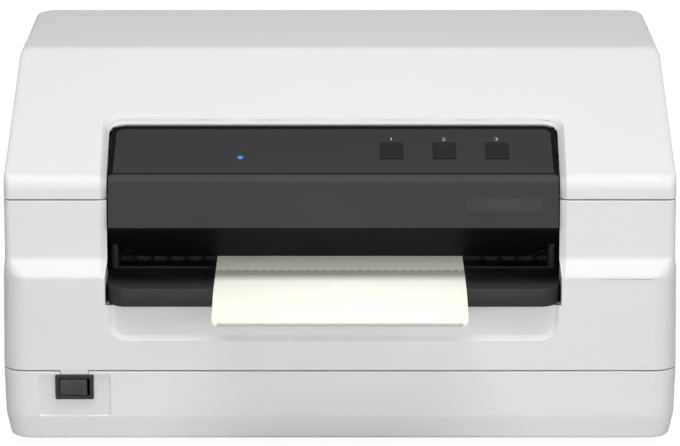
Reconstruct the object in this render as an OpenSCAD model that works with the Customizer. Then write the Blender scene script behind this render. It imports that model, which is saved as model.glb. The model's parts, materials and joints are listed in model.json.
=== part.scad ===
// Flatbed dot matrix printer for passbooks and forms, with a hinged top cover.
// X runs to the right, Y to the back and Z up. The front faces -Y.
// Places inside the machine are measured back from the casing's front plane,
// and in_place() then centres the machine and its passbook on the origin.

/* [Casing] */
// Width of the casing
body_w = 384; // [376:1:461]
// Depth of the machine, to the back of the hinge knuckles
body_d = 280; // [276:1:336]
// Height of the machine over its feet
body_h = 203; // [200:1:244]
// Thickness of the moulded walls
wall = 2.5; // [2:0.1:3]
// Corner radius of the casing in plan
corner_r = 14; // [8:1:18]
// Height of the seam between base pan and housing
seam_z = 45; // [44:1:47]
// Height of the parting line between housing and top cover
parting_z = 143; // [141:1:146]
// Height of the pan's front crease, below which the pan draws in
pan_crease_z = 18; // [14:1:20]
// How far the pan draws in towards its bottom
pan_taper = 3; // [1:0.5:4]
// Height of the ledge's front edge
ledge_z = 100; // [98:1:101]
// Setback of the housing's front above the ledge
ledge_setback = 7.2; // [4:0.2:8]
// Height at which the cover's front turns into its slope
slope_foot_z = 155; // [153:1:158]
// Distance of the crease on top from the front
crease_y = 150; // [146:1:160]

/* [Front opening] */
// Sideways place of the middle of the paper lane
lane_x = -3.6; // [-4:0.1:0]
// Width of the dark control panel
panel_w = 257; // [250:1:262]
// Length of the panel up the slope
panel_len = 60; // [58:1:62]
// Height of the panel's lower lip
panel_lip_z = 127; // [125:1:129]
// Gap around the panel and the tray
panel_gap = 0.6; // [0.4:0.1:1]
// Height of the tray's front apron
tray_apron_h = 10.7; // [9:0.1:12]
// How far the tray stands proud of the front
tray_proud = 1.5; // [0:0.5:3]
// Width of the tray's rounded front corners
tray_corner_w = 11; // [4:1:16]
// Length of the tray's rounded front corners
tray_corner_len = 20; // [4:1:22]

/* [Controls] */
// Width of a button
button_w = 13; // [10:0.5:15]
// Length of a button up the slope
button_len = 16.4; // [12:0.2:17]
// Distance between buttons
button_pitch = 30.2; // [26:0.2:31]
// Travel of a button
button_travel = 1; // [0.6:0.1:1.2]
// Width of the power switch bezel
switch_w = 21.8; // [20:0.2:24]
// Height of the power switch bezel
switch_h = 14.4; // [12:0.2:15]
// Tilt of the power rocker each way, in degrees
rocker_tilt = 6; // [4:0.5:7]

/* [Paper path] */
// Height of the underside of the sheet
paper_z = 94; // [93:0.5:95]
// Thickness of the passbook
book_t = 2.3; // [0.5:0.1:2.3]
// Width of the passbook
book_w = 142.5; // [80:0.5:210]
// How far the passbook reaches out in front
book_out = 50; // [20:1:80]
// Droop of the passbook's free end
book_droop = 9.3; // [4:0.1:12]
// Distance of the booklet's fold behind the front
book_fold_y = 30; // [10:1:60]
// Distance of the alignment gate from the front
gate_y = 177; // [172:1:177.5]
// Distance of the front feed rollers from the front
front_roller_y = 100; // [98:1:101]
// Distance of the rear feed rollers from the front
rear_roller_y = 190; // [189:1:192]
// Radius of the driven feed rollers
feed_r = 10; // [9:0.1:10]
// Radius of the pressure rollers
press_r = 8; // [6:0.1:8]
// Distance between neighbouring rollers on a shaft
roller_pitch = 50; // [40:1:55]

/* [Mechanism] */
// Inside width between the steel side plates
frame_w = 320; // [316:1:324]
// Thickness of the steel side plates
plate_t = 2; // [1.5:0.1:2.5]
// Distance of the print line from the front
print_y = 125; // [123:1:127]
// Radius of the carriage guide shaft
shaft_r = 6; // [5:0.1:6.5]
// Carriage travel each way
carriage_travel = 119.4; // [100:0.1:119.4]
// Pitch radius of the belt on its pulleys
belt_r = 7.9; // [7.5:0.1:8.1]
// Width of the timing belt
belt_w = 6; // [4:0.5:6]
// Teeth of a feed roller gear
roller_teeth = 30; // [28:2:32]
// Teeth of the feed motor pinion
pinion_teeth = 16; // [14:2:18]
// Tooth size of the gears
gear_module = 1; // [0.95:0.01:1.02]

/* [Hidden] */
$fn = 48;
eps = 0.01;
free = 0.3;                      // clearance between pieces that move past each other
running = 0.05;                  // radial running clearance of a shaft in its bore
front_y = -(body_d - book_out) / 2;
rear_y = body_d - 4;             // outside of the rear wall
in_w = body_w - 2 * wall;
split = 0.3;                     // half of each parting gap
foot_h = 4;

// Slope of the cover, worked out from its foot to the crease on top
slope_foot_y = ledge_setback + 1.4;
slope_a = atan((body_h - slope_foot_z) / (crease_y - slope_foot_y));
panel_inset = 0.8;

tray_z = paper_z - free;
tray_bottom_z = tray_z - tray_apron_h;
tray_back_y = 72;
book_top_z = paper_z + book_t;
feed_axis_z = paper_z - feed_r;
press_axis_z = book_top_z + free + press_r;
guide_under_z = book_top_z + 2.2;
guide_t = 1.6;
frame_z = 50;                    // underside of the frame's bottom plate
frame_t = 2;
frame_front_y = 80;
frame_back_y = 225;
plate_top_z = 150;
left_plate_x = lane_x - frame_w / 2;
right_plate_x = lane_x + frame_w / 2;
post_x = frame_w / 2 - 8;

shaft_y = 94;
shaft_z = 132;
rail_y = 144;
rail_back_y = 162;
rail_z = 112;
rail_t = 2;
belt_z = 127;
belt_y = 152;
belt_t = 1.2;
pulley_r = belt_r - belt_t / 2 - free;
pulley_x = carriage_travel + 17; // each way from the lane's middle
carriage_half = 22;
carriage_back_y = belt_y - 3;
deck_z = 117;
deck_t = 6;
nose_z = book_top_z + 2.1;
ribbon_w = 13;
arm_x = carriage_travel + carriage_half + 5.6;
cartridge_y = 152;
cartridge_d = 53;
cartridge_h = 20;

roller_gear_r = gear_module * roller_teeth / 2;
pinion_r = gear_module * pinion_teeth / 2;
idler_teeth = 24;
idler_r = gear_module * idler_teeth / 2;
train_y = (rear_roller_y - front_roller_y) / 2;
train_len = pinion_r + 2 * idler_r + roller_gear_r;
train_drop = sqrt(train_len * train_len - train_y * train_y);
motor_y = front_roller_y + train_y;
motor_z = feed_axis_z - train_drop;
train_a = atan(train_drop / train_y);
gear_x = right_plate_x + plate_t + 2;
gear_t = 6;

hinge_y = body_d - 2.5;
hinge_r = 2.5;
pin_r = 1.2;
hinge_x = 120;
knuckle_w = 8;

switch_x = -body_w / 2 + 40.9;
switch_z = seam_z - 2.2 - switch_h / 2;
button_u = 30.9;                 // middle of the buttons, up the slope
button_x = 29.4;
board_z = 12;
board_t = 1.6;
board_back_y = rear_y - wall - 4;
inlet_x = -112;
inlet_z = 26;
// Middle, width and height of each interface port
ports = [[8, 66, 13], [62, 13, 11.5], [108, 54, 12]];

// ---------- helpers ----------

module in_place() translate([0, front_y, 0]) children();

// Draws a (Y, Z) outline and runs it along X from x0 to x1.
module run_x(x0, x1) translate([x0, 0, 0]) rotate([90, 0, 90]) linear_extrude(x1 - x0) children();

// A round bar along X.
module bar_x(x0, x1, y, z, r) run_x(x0, x1) translate([y, z]) circle(r);

// A round bar along Y.
module bar_y(x, y0, y1, z, r) translate([x, y1, z]) rotate([90, 0, 0]) cylinder(r = r, h = y1 - y0);

module block(x0, x1, y0, y1, z0, z1) translate([x0, y0, z0]) cube([x1 - x0, y1 - y0, z1 - z0]);

// Plan outline of the casing, drawn in by "inset".
module plan(inset = 0) {
  r = max(corner_r - inset, 2);
  translate([0, rear_y / 2]) offset(r) square([body_w - 2 * (inset + r), rear_y - 2 * (inset + r)], center = true);
}

// Frame on the cover's slope: x across, y up the slope, z out of it.
module on_slope(x, u) translate([x, slope_foot_y, slope_foot_z]) rotate([slope_a, 0, 0]) translate([0, u, 0]) children();

function on_slope_yz(u, depth) = [
  slope_foot_y + u * cos(slope_a) + depth * sin(slope_a),
  slope_foot_z + u * sin(slope_a) - depth * cos(slope_a)
];

// Outline of a spur gear with a tooth centred on the angle "phase".
module gear_outline(teeth, phase) {
  pitch = 360 / teeth;
  r = gear_module * teeth / 2;
  function tooth_point(i, part, radius) = let (a = phase + pitch * (i + part)) radius * [cos(a), sin(a)];
  polygon([for (i = [0 : teeth - 1]) each [
    tooth_point(i, -0.29, r - 1.2 * gear_module),
    tooth_point(i, -0.12, r + 0.75 * gear_module),
    tooth_point(i, 0.12, r + 0.75 * gear_module),
    tooth_point(i, 0.29, r - 1.2 * gear_module)
  ]]);
}

// Phase of a gear that meshes with one of another phase, along the line at angle "a".
function mesh_phase(teeth, a, other_teeth, other_phase) =
  a + 180 + 360 / teeth * (0.5 - (other_phase - a) * other_teeth / 360);

module gear_x_at(y, z, teeth, phase, bore) {
  run_x(gear_x, gear_x + gear_t) translate([y, z]) difference() {
    gear_outline(teeth, phase);
    circle(bore);
  }
}

// Side outline of the casing from the seam up, drawn in by "inset".
module casing_side(inset = 0) {
  offset(delta = -inset) offset(r = corner_r / 2) offset(delta = -corner_r / 2) polygon([
    [0, -20], [0, ledge_z], [ledge_setback, ledge_z + 9], [ledge_setback + 1.4, slope_foot_z],
    [crease_y, body_h], [rear_y, body_h], [rear_y, -20]
  ]);
}

module casing_solid(inset = 0) {
  intersection() {
    run_x(-body_w / 2 + inset, body_w / 2 - inset) casing_side(inset);
    translate([0, 0, -20]) linear_extrude(body_h + 40) plan(inset);
  }
}

module opening(z0, z1, depth) {
  block(lane_x - panel_w / 2 - panel_gap, lane_x + panel_w / 2 + panel_gap, -10, depth, z0, z1);
}

// ---------- casing ----------

module pan_solid(inset) {
  translate([0, 0, pan_crease_z]) linear_extrude(seam_z - split - pan_crease_z + (inset > 0 ? 5 : 0)) plan(inset);
  hull() {
    translate([0, 0, foot_h + inset]) linear_extrude(eps) plan(inset + pan_taper);
    translate([0, 0, pan_crease_z]) linear_extrude(eps) plan(inset);
  }
}

// Four places, mirrored about the middle of the casing
module at_casing_corners() for (sx = [-1, 1], y = [24, rear_y - 24]) translate([sx * (body_w / 2 - 16), y, 0]) children();

module at_frame_posts() for (sx = [-1, 1], y = [frame_front_y + 10, frame_back_y - 10]) {
  translate([lane_x + sx * post_x, y, 0]) children();
}

module at_board_corners() for (x = [-139, -52, -32, 134], y = [board_back_y - 112, board_back_y - 20]) {
  translate([x, y, 0]) children();
}

module base_pan() {
  color("gainsboro") in_place() difference() {
    union() {
      difference() {
        pan_solid(0);
        pan_solid(wall);
      }
      at_frame_posts() translate([0, 0, foot_h + 1]) cylinder(r = 5, h = frame_z - foot_h - 1);
      at_board_corners() translate([0, 0, foot_h + 1]) cylinder(r = 3.5, h = board_z - foot_h - 1);
      at_casing_corners() translate([0, 0, foot_h + 1]) cylinder(r = 6.5, h = seam_z - split - foot_h - 1);
      // Raised off and on marks beside the power switch
      translate([switch_x + 15.9, 1, switch_z - 1]) rotate([90, 0, 0]) difference() {
        cylinder(r = 2, h = 0.4);
        cylinder(r = 1.5, h = 1);
      }
      block(switch_x - 16.7, switch_x - 16.1, 0.6, 1.2, switch_z - 3, switch_z + 1);
    }
    // Shallow field round the power switch
    difference() {
      block(switch_x - 20, switch_x + 20, -1, 1, switch_z - switch_h / 2 - 9, switch_z + switch_h / 2);
      translate([switch_x + 15.9, 2, switch_z - 1]) rotate([90, 0, 0]) difference() {
        cylinder(r = 2, h = 1.4);
        translate([0, 0, -1]) cylinder(r = 1.5, h = 4);
      }
      block(switch_x - 16.7, switch_x - 16.1, 0.6, 1.2, switch_z - 3, switch_z + 1);
    }
    block(switch_x - 9.3, switch_x + 9.3, -1, 5, switch_z - 6, switch_z + 6);
    block(switch_x - 8.2, switch_x + 8.2, seam_z - 60, 5, seam_z - 2.4, seam_z + 1);
    at_frame_posts() translate([0, 0, frame_z - 16]) cylinder(r = 2, h = 20);
    at_board_corners() translate([0, 0, board_z - 5]) cylinder(r = 1.25, h = 10);
    at_casing_corners() translate([0, 0, -1]) {
      cylinder(r = 4.5, h = 26);
      cylinder(r = 2.25, h = 60);
    }
    inlet_cut();
    port_cuts();
    // Vent slots low in both sides
    for (sx = [-1, 1], k = [0 : 9]) {
      translate([sx * body_w / 2, 110 + 12 * k, 31]) cube([4 * wall, 5, 14], center = true);
    }
  }
}

module main_housing() {
  color("whitesmoke") in_place() difference() {
    union() {
      difference() {
        intersection() {
          casing_solid();
          block(-body_w, body_w, -1, body_d, seam_z + split, parting_z - split);
        }
        difference() {
          casing_solid(wall);
          // Back of the shallow recess under the tray, and the sill that carries the tray
          opening_run(0.5) polygon([[0, 60], [7, 60], [7, tray_bottom_z], [0, tray_bottom_z]]);
          opening_run(0.5) polygon([[5, tray_bottom_z - wall], [16, tray_bottom_z - wall],
            [16, tray_bottom_z], [5, tray_bottom_z]]);
        }
      }
      // Bosses over the pan's corners, each with a rib to the side wall
      for (sx = [-1, 1], y = [24, rear_y - 24]) {
        translate([sx * (body_w / 2 - 16), y, seam_z + split]) cylinder(r = 5.5, h = 26);
        block(sx * (body_w / 2 - 11) - 9, sx * (body_w / 2 - 11) + 9, y - 1.2, y + 1.2, seam_z + split, seam_z + 20);
      }
      // Tab over the power switch
      block(switch_x - 7.9, switch_x + 7.9, 0.2, wall, seam_z - 2.1, seam_z + 1);
      housing_knuckles();
      // Lips that guide the cover's side walls
      for (sx = [-1, 1]) {
        block(sx * (in_w / 2 - free - 0.8) - 0.8, sx * (in_w / 2 - free - 0.8) + 0.8, 40, 240, parting_z - 8, parting_z + 5);
        block(sx * (in_w / 2 - 0.8) - 0.9, sx * (in_w / 2 - 0.8) + 0.9, 40, 240, parting_z - 8, parting_z - 5);
      }
    }
    block(-body_w, body_w, -10, body_d + 10, -10, seam_z - 2.1 - eps);
    opening(tray_bottom_z, body_h, 60);
    // Shallow recess under the tray
    opening_run(0) polygon([[-1, 64], [0, 64], [3.6, tray_bottom_z - 3], [3.6, tray_bottom_z + 1], [-1, tray_bottom_z + 1]]);
    at_casing_corners() translate([0, 0, seam_z - 5]) cylinder(r = 1.6, h = 26);
    // Sheet exit in the rear wall
    block(lane_x - 135, lane_x + 135, rear_y - 3 * wall, body_d + 1, paper_z - 6, paper_z + 12);
    cover_knuckle_room();
    // Vent slots in the rear wall and in the right side
    for (k = [-8 : 8]) {
      translate([k * 14, rear_y, seam_z + 24]) cube([5, 4 * wall, 16], center = true);
    }
    for (k = [0 : 7]) {
      translate([body_w / 2, 130 + 12 * k, 76]) cube([4 * wall, 5, 22], center = true);
    }
  }
}

// A (Y, Z) outline run across the front opening, wider by "more" at each end.
module opening_run(more) {
  run_x(lane_x - panel_w / 2 - panel_gap - more, lane_x + panel_w / 2 + panel_gap + more) children();
}

module knuckle(x0, x1, up) {
  bar_x(x0, x1, hinge_y, parting_z, hinge_r);
  block(x0, x1, rear_y - 1.5, hinge_y, up > 0 ? parting_z : parting_z - 4, up > 0 ? parting_z + 4 : parting_z);
}

module housing_knuckles() for (sx = [-1, 1], k = [-1, 1]) {
  x = sx * hinge_x + k * knuckle_w;
  difference() {
    knuckle(x - knuckle_w / 2, x + knuckle_w / 2, -1);
    bar_x(x - knuckle_w, x + knuckle_w, hinge_y, parting_z, pin_r);
  }
}

// Room that each shell leaves for the other one's knuckles
module cover_knuckle_room() for (sx = [-1, 1]) {
  block(sx * hinge_x - knuckle_w / 2, sx * hinge_x + knuckle_w / 2, rear_y - 2, body_d + 1, parting_z - hinge_r - 0.5, parting_z + 1);
}

module housing_knuckle_room() for (sx = [-1, 1], k = [-1, 1]) {
  x = sx * hinge_x + k * knuckle_w;
  block(x - knuckle_w / 2 - free, x + knuckle_w / 2 + free, rear_y - 2, body_d + 1, parting_z - 1, parting_z + hinge_r + 0.5);
}

module top_cover() {
  color("whitesmoke") in_place() {
    difference() {
      intersection() {
        casing_solid();
        block(-body_w, body_w, -1, body_d, parting_z + split, body_h + 1);
      }
      intersection() {
        casing_solid(wall);
        block(-body_w, body_w, -1, body_d, 0, body_h + 1);
      }
      opening(panel_lip_z, slope_foot_z, slope_foot_y + 2);
      on_slope(lane_x, 0) translate([-panel_w / 2 - panel_gap, -30, -20]) {
        cube([panel_w + 2 * panel_gap, panel_len + panel_gap + 30, 60]);
      }
      housing_knuckle_room();
    }
    for (sx = [-1, 1]) difference() {
      knuckle(sx * hinge_x - knuckle_w / 2 + free, sx * hinge_x + knuckle_w / 2 - free, 1);
      bar_x(sx * hinge_x - knuckle_w, sx * hinge_x + knuckle_w, hinge_y, parting_z, pin_r + running);
    }
    // Stiffening ribs under the top
    for (x = [-110, -37, 37, 110]) intersection() {
      run_x(x - 1, x + 1) difference() {
        casing_side(wall - 0.5);
        casing_side(wall + 5);
      }
      block(-body_w, body_w, 90, rear_y - wall + 0.5, parting_z + 20, body_h);
    }
  }
}

module hinge_pins() {
  color("silver") in_place() for (sx = [-1, 1]) {
    bar_x(sx * hinge_x - 1.5 * knuckle_w, sx * hinge_x + 1.5 * knuckle_w, hinge_y, parting_z, pin_r);
  }
}

module rubber_feet() {
  color("dimgray") in_place() for (sx = [-1, 1], y = [40, rear_y - 40]) {
    translate([sx * (body_w / 2 - 28), y, 0]) cylinder(r1 = 7, r2 = 8, h = foot_h);
  }
}

module casing_screws() {
  color("silver") in_place() at_casing_corners() {
    translate([0, 0, 22]) difference() {
      cylinder(r = 4, h = 3);
      translate([0, 0, -1]) cylinder(r = 1.6, h = 2.5, $fn = 6);
    }
    translate([0, 0, 25]) cylinder(r = 1.6, h = 33);
  }
}

// ---------- control panel ----------

module control_panel() {
  top = on_slope_yz(panel_len, panel_inset);
  top_in = on_slope_yz(panel_len, panel_inset + wall);
  bend = on_slope_yz(1.5, panel_inset);
  bend_in = on_slope_yz(4, panel_inset + wall);
  lip = [ledge_setback - 0.8, panel_lip_z];
  lip_in = [lip[0] + wall + 0.4, panel_lip_z + 1.4];
  back = [40, paper_z + 9.5];
  x0 = lane_x - panel_w / 2;
  x1 = lane_x + panel_w / 2;
  color([0.24, 0.24, 0.25]) in_place() difference() {
    union() {
      run_x(x0, x1) polygon([top, bend, lip, lip_in, bend_in, top_in]);
      // Underside that runs back over the slot, cut off slantwise at its ends
      intersection() {
        run_x(x0, x1) polygon([lip, back, back + [1.5, 2], lip_in]);
        translate([0, 0, 50]) linear_extrude(150) polygon([
          [x0, 0], [x1, 0], [x1, 22], [x1 - 16, 42], [x0 + 16, 42], [x0, 22]
        ]);
      }
      // Cheeks at both ends
      for (x = [x0, x1 - wall]) {
        run_x(x, x + wall) polygon([top, bend, lip, [26, panel_lip_z - 13], [66, panel_lip_z - 13]]);
      }
      // Tongues under the cover's skin
      for (x = [-110, -40, 40, 105]) on_slope(x, 0) {
        translate([0, panel_len + 2, -wall - 1]) cube([20, 18, 2], center = true);
      }
      // Posts that carry the panel board
      for (x = [8, 104]) on_slope(x, button_u) translate([0, 0, -9 - button_travel]) cylinder(r = 3, h = 8);
    }
    for (k = [0 : 2]) on_slope(button_x + k * button_pitch, button_u) {
      cube([button_w + 2 * free, button_len + 2 * free, 12], center = true);
    }
    lamp_places() translate([0, 0, -6]) cylinder(r = 1.5, h = 12);
    label_place(0.4) cube([42.3, 1, 8], center = true);
  }
}

// Places the children on the panel's lower face, "depth" below its surface.
module label_place(depth) {
  lip = [ledge_setback - 0.8, panel_lip_z];
  bend = on_slope_yz(1.5, panel_inset);
  lean = atan((bend[0] - lip[0]) / (bend[1] - lip[1]));
  translate([92.7, lip[0], lip[1]]) rotate([-lean, 0, 0]) translate([0, depth - 0.5, 13.5]) children();
}

module blank_label() {
  color([0.32, 0.32, 0.33]) in_place() label_place(0.4) translate([0, 0.35, 0]) cube([42.3, 0.3, 8], center = true);
}

module button(k) {
  color([0.2, 0.2, 0.21]) in_place() on_slope(button_x + (k - 1) * button_pitch, button_u) {
    translate([0, 0, -2.1]) cube([button_w, button_len, 5.8], center = true);
    translate([0, 0, -5.5]) cube([button_w + 2.5, button_len + 2.5, 1], center = true);
  }
}
module button_1() button(1);
module button_2() button(2);
module button_3() button(3);

module lamp_places() {
  on_slope(-56.8, 38) children();
  for (k = [0 : 2]) on_slope(button_x + k * button_pitch - 12.6, button_u) children();
  power_lamp_place() children();
}
module power_lamp_place() on_slope(-56.8, 25) children();

module lamp() translate([0, 0, -5]) cylinder(r = 1.5, h = 5 - panel_inset + 0.1);

module power_lamp() color("dodgerblue") in_place() power_lamp_place() lamp();

module panel_lamps() {
  color("gray") in_place() {
    on_slope(-56.8, 38) lamp();
    for (k = [0 : 2]) on_slope(button_x + k * button_pitch - 12.6, button_u) lamp();
  }
}

module panel_board() {
  color("seagreen") in_place() {
    on_slope(20, button_u) translate([0, 0, -9.8 - button_travel]) cube([180, 30, board_t], center = true);
    for (k = [0 : 2]) on_slope(button_x + k * button_pitch, button_u) {
      translate([0, 0, -7.6 - button_travel]) cube([6, 6, 3], center = true);
    }
    for (x = [-56.8, button_x - 12.6, button_x + button_pitch - 12.6, button_x + 2 * button_pitch - 12.6]) {
      on_slope(x, button_u) translate([0, 0, -7.6 - button_travel]) cube([4, 16, 3], center = true);
    }
  }
}

// ---------- front tray, passbook and switch ----------

// The tray seen from above: its front corners are quarter ellipses
module tray_outline() {
  half = panel_w / 2;
  translate([lane_x, 0]) hull() {
    for (sx = [-1, 1]) translate([sx * (half - tray_corner_w), tray_corner_len - tray_proud]) {
      scale([tray_corner_w, tray_corner_len]) circle(1);
    }
    translate([-half, tray_back_y - 1]) square([panel_w, 1]);
  }
}

module front_tray() {
  x0 = lane_x - panel_w / 2;
  x1 = lane_x + panel_w / 2;
  color([0.22, 0.22, 0.23]) in_place() {
    translate([0, 0, tray_z - 2.4]) linear_extrude(2.4) tray_outline();
    translate([0, 0, tray_bottom_z]) linear_extrude(tray_apron_h) difference() {
      tray_outline();
      offset(delta = -2.4) tray_outline();
    }
    for (x = [x0 + 60, lane_x, x1 - 60]) block(x - 1, x + 1, 0, tray_back_y - 2, tray_bottom_z, tray_z);
    // Upright ends beside the slot
    for (x = [x0, x1 - 4.5]) block(x, x + 4.5, 22, tray_back_y, tray_z, tray_z + 17);
  }
}

// Top line of the passbook at a distance in front of the tray.
function book_line(out) = -book_droop * pow(max(out, 0) / book_out, 2);

module passbook() {
  outs = [for (i = [10 : -1 : 0]) i * book_out / 10];
  back = gate_y - free;
  color([1, 1, 0.94]) in_place() difference() {
    intersection() {
      run_x(-book_w / 2, book_w / 2) polygon(concat(
        [for (o = outs) [-o, book_top_z + book_line(o)]],
        [[back, book_top_z], [back, paper_z]],
        [for (i = [0 : 10]) let (o = i * book_out / 10) [-o, paper_z + book_line(o)]]
      ));
      translate([0, (back - book_out) / 2, 50]) linear_extrude(100) {
        offset(4) square([book_w - 8, back + book_out - 8], center = true);
      }
    }
    // Fold between the two open pages
    block(-book_w, book_w, book_fold_y - 0.2, book_fold_y + 0.2, book_top_z - 0.3, book_top_z + 1);
  }
}

module switch_body() {
  color([0.12, 0.12, 0.12]) in_place() difference() {
    union() {
      block(switch_x - switch_w / 2, switch_x + switch_w / 2, -0.8, 1, switch_z - switch_h / 2, switch_z + switch_h / 2);
      block(switch_x - 9.3, switch_x + 9.3, 0, 22, switch_z - 6, switch_z + 6);
    }
    block(switch_x - 8.6, switch_x + 8.6, -5, 12, switch_z - 5, switch_z + 5);
    translate([switch_x, 5, switch_z - 5.8]) cylinder(r = 1.5 + running, h = 11.6);
  }
  color("silver") in_place() for (x = [-5, 0, 5]) block(switch_x + x - 0.4, switch_x + x + 0.4, 22, 30, switch_z - 2.5, switch_z + 2.5);
}

module power_rocker() {
  color([0.16, 0.16, 0.17]) in_place() translate([switch_x, 5, switch_z]) rotate([0, 0, -rocker_tilt]) {
    intersection() {
      translate([0, 0, -4.6]) linear_extrude(9.2) polygon([
        [-7.7, -6.6], [0, -5.6], [7.7, -6.6], [7.7, -1], [3, 4], [-3, 4], [-7.7, -1]
      ]);
      translate([0, 0, -5]) cylinder(r = 10.5, h = 10);
    }
    translate([0, 0, -5.6]) cylinder(r = 1.5, h = 11.2);
  }
}

// ---------- steel frame ----------

module lower_frame() {
  color("lightsteelblue") in_place() difference() {
    union() {
      block(left_plate_x - plate_t, right_plate_x + plate_t, frame_front_y, frame_back_y, frame_z, frame_z + frame_t);
      block(left_plate_x, right_plate_x, frame_front_y, frame_front_y + frame_t, frame_z, frame_z + 20);
      block(left_plate_x, right_plate_x, frame_back_y - frame_t, frame_back_y, frame_z, frame_z + 20);
      // Stands under the platen
      for (x = [-110, 0, 110]) translate([lane_x + x, print_y, frame_z]) cylinder(r = 5, h = paper_z - 10 - frame_z);
    }
    at_frame_posts() translate([0, 0, frame_z - 1]) cylinder(r = 2, h = 10);
    for (x = [-60, 60]) block(lane_x + x - 30, lane_x + x + 30, 150, 205, frame_z - 1, frame_z + 5);
  }
}

module side_plate_outline() {
  difference() {
    polygon([
      [frame_front_y, frame_z + frame_t], [frame_back_y, frame_z + frame_t], [frame_back_y, 110],
      [cartridge_y + cartridge_d + 3, plate_top_z], [cartridge_y - 4, plate_top_z],
      [shaft_y - 6, plate_top_z - 4], [frame_front_y, shaft_z]
    ]);
    for (y = [front_roller_y, rear_roller_y]) {
      translate([y, feed_axis_z]) circle(7);
      translate([y, press_axis_z]) circle(3 + running);
    }
    translate([shaft_y, shaft_z]) circle(shaft_r);
    translate([210, 72]) circle(9);
  }
}

module left_side_plate() color("silver") in_place() run_x(left_plate_x - plate_t, left_plate_x) side_plate_outline();

module right_side_plate() {
  color("silver") in_place() run_x(right_plate_x, right_plate_x + plate_t) difference() {
    side_plate_outline();
    translate([motor_y, motor_z]) circle(11);
    for (s = [-1, 1]) idler_at(s) circle(3);
  }
}

// Places a (Y, Z) outline at the front (-1) or rear (1) idler gear.
module idler_at(s) {
  reach = (pinion_r + idler_r) / train_len;
  translate([motor_y + s * train_y * reach, motor_z + train_drop * reach]) children();
}

module guide_shaft() {
  color("gainsboro") in_place() bar_x(left_plate_x - plate_t - 4, right_plate_x + plate_t + 4, shaft_y, shaft_z, shaft_r);
}

module rear_rail() {
  color("silver") in_place() difference() {
    run_x(left_plate_x, right_plate_x) polygon([
      [rail_y, rail_z], [rail_back_y, rail_z], [rail_back_y, rail_z + 34],
      [rail_back_y - rail_t, rail_z + 34], [rail_back_y - rail_t, rail_z + rail_t], [rail_y, rail_z + rail_t]
    ]);
    bar_y(lane_x - pulley_x, rail_y, rail_back_y + 5, belt_z, 11);
    bar_y(lane_x + pulley_x, rail_y, rail_back_y + 5, belt_z, 2.5);
  }
}

module shaft_bearings() {
  color("goldenrod") in_place() for (y = [front_roller_y, rear_roller_y]) {
    for (x = [left_plate_x - plate_t, right_plate_x]) difference() {
      union() {
        bar_x(x, x + plate_t, y, feed_axis_z, 7);
        bar_x(x == right_plate_x ? x + plate_t : x - 1.2, x == right_plate_x ? x + plate_t + 1.2 : x, y, feed_axis_z, 8.5);
      }
      bar_x(x - 5, x + 9, y, feed_axis_z, 4 + running);
    }
  }
}

module frame_screws() {
  color("silver") in_place() at_frame_posts() {
    translate([0, 0, frame_z - 12]) cylinder(r = 2, h = 12 + frame_t);
    translate([0, 0, frame_z + frame_t]) difference() {
      cylinder(r = 4, h = 2.6);
      translate([0, 0, 1.2]) cylinder(r = 1.5, h = 2, $fn = 6);
    }
  }
}

// ---------- carriage, head and belt ----------

module carriage() {
  color([0.2, 0.2, 0.22]) in_place() translate([lane_x, 0, 0]) difference() {
    union() {
      run_x(-carriage_half, carriage_half) translate([shaft_y, shaft_z]) offset(2) square([20, 24], center = true);
      block(-carriage_half, carriage_half, shaft_y + 4, carriage_back_y, deck_z, deck_z + deck_t);
      block(-carriage_half, carriage_half, carriage_back_y - 4, carriage_back_y, rail_z + rail_t + free, deck_z + 20);
      for (x = [-carriage_half, carriage_half - 3]) block(x, x + 3, shaft_y + 4, carriage_back_y, deck_z, deck_z + 16);
      // Clamp on the belt's lower run
      block(-6, 6, carriage_back_y - 1, belt_y + belt_w + 1, rail_z + rail_t + 1, deck_z + 6);
    }
    bar_x(-carriage_half - 1, carriage_half + 1, shaft_y, shaft_z, shaft_r + 2);
    block(-10.3, 10.3, print_y - 7.3, print_y + 7.3, deck_z - 1, deck_z + deck_t + 1);
    block(-7, 7, belt_y - free, belt_y + belt_w + 5, belt_z - belt_r - belt_t / 2 - free, belt_z - belt_r + belt_t / 2 + free);
  }
}

module carriage_bushes() {
  color("goldenrod") in_place() translate([lane_x, 0, 0]) for (x = [-carriage_half, carriage_half - 10]) difference() {
    bar_x(x, x + 10, shaft_y, shaft_z, shaft_r + 2);
    bar_x(x - 1, x + 11, shaft_y, shaft_z, shaft_r + running);
  }
}

module print_head() {
  seat = deck_z + deck_t;
  color([0.3, 0.3, 0.32]) in_place() translate([lane_x, print_y, 0]) {
    difference() {
      union() {
        translate([0, 0, deck_z - 6]) linear_extrude(seat - deck_z + 7) square([20, 14], center = true);
        // Nose that narrows down to the print line
        rotate([90, 0, 0]) linear_extrude(12, center = true) polygon([
          [-10, deck_z - 5], [-5, nose_z], [5, nose_z], [10, deck_z - 5]
        ]);
        translate([0, 0, seat]) linear_extrude(16) offset(3) square([30, 28], center = true);
        for (k = [0 : 6]) translate([0, 0, seat + 16]) {
          translate([-16.5 + k * 5.5 - 0.7, -15, -0.5]) cube([1.4, 30, 8]);
        }
      }
      translate([0, 0, nose_z - 1]) cube([3, 6, 2.6], center = true);
    }
  }
}

module timing_belt() {
  color([0.1, 0.1, 0.1]) in_place() translate([lane_x, belt_y + belt_w, belt_z]) rotate([90, 0, 0]) {
    linear_extrude(belt_w) difference() {
      belt_outline(belt_r + belt_t / 2);
      belt_outline(belt_r - belt_t / 2);
    }
  }
}

module belt_outline(r) {
  square([2 * pulley_x, 2 * r], center = true);
  for (s = [-1, 1]) translate([s * pulley_x, 0]) circle(r);
}

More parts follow.
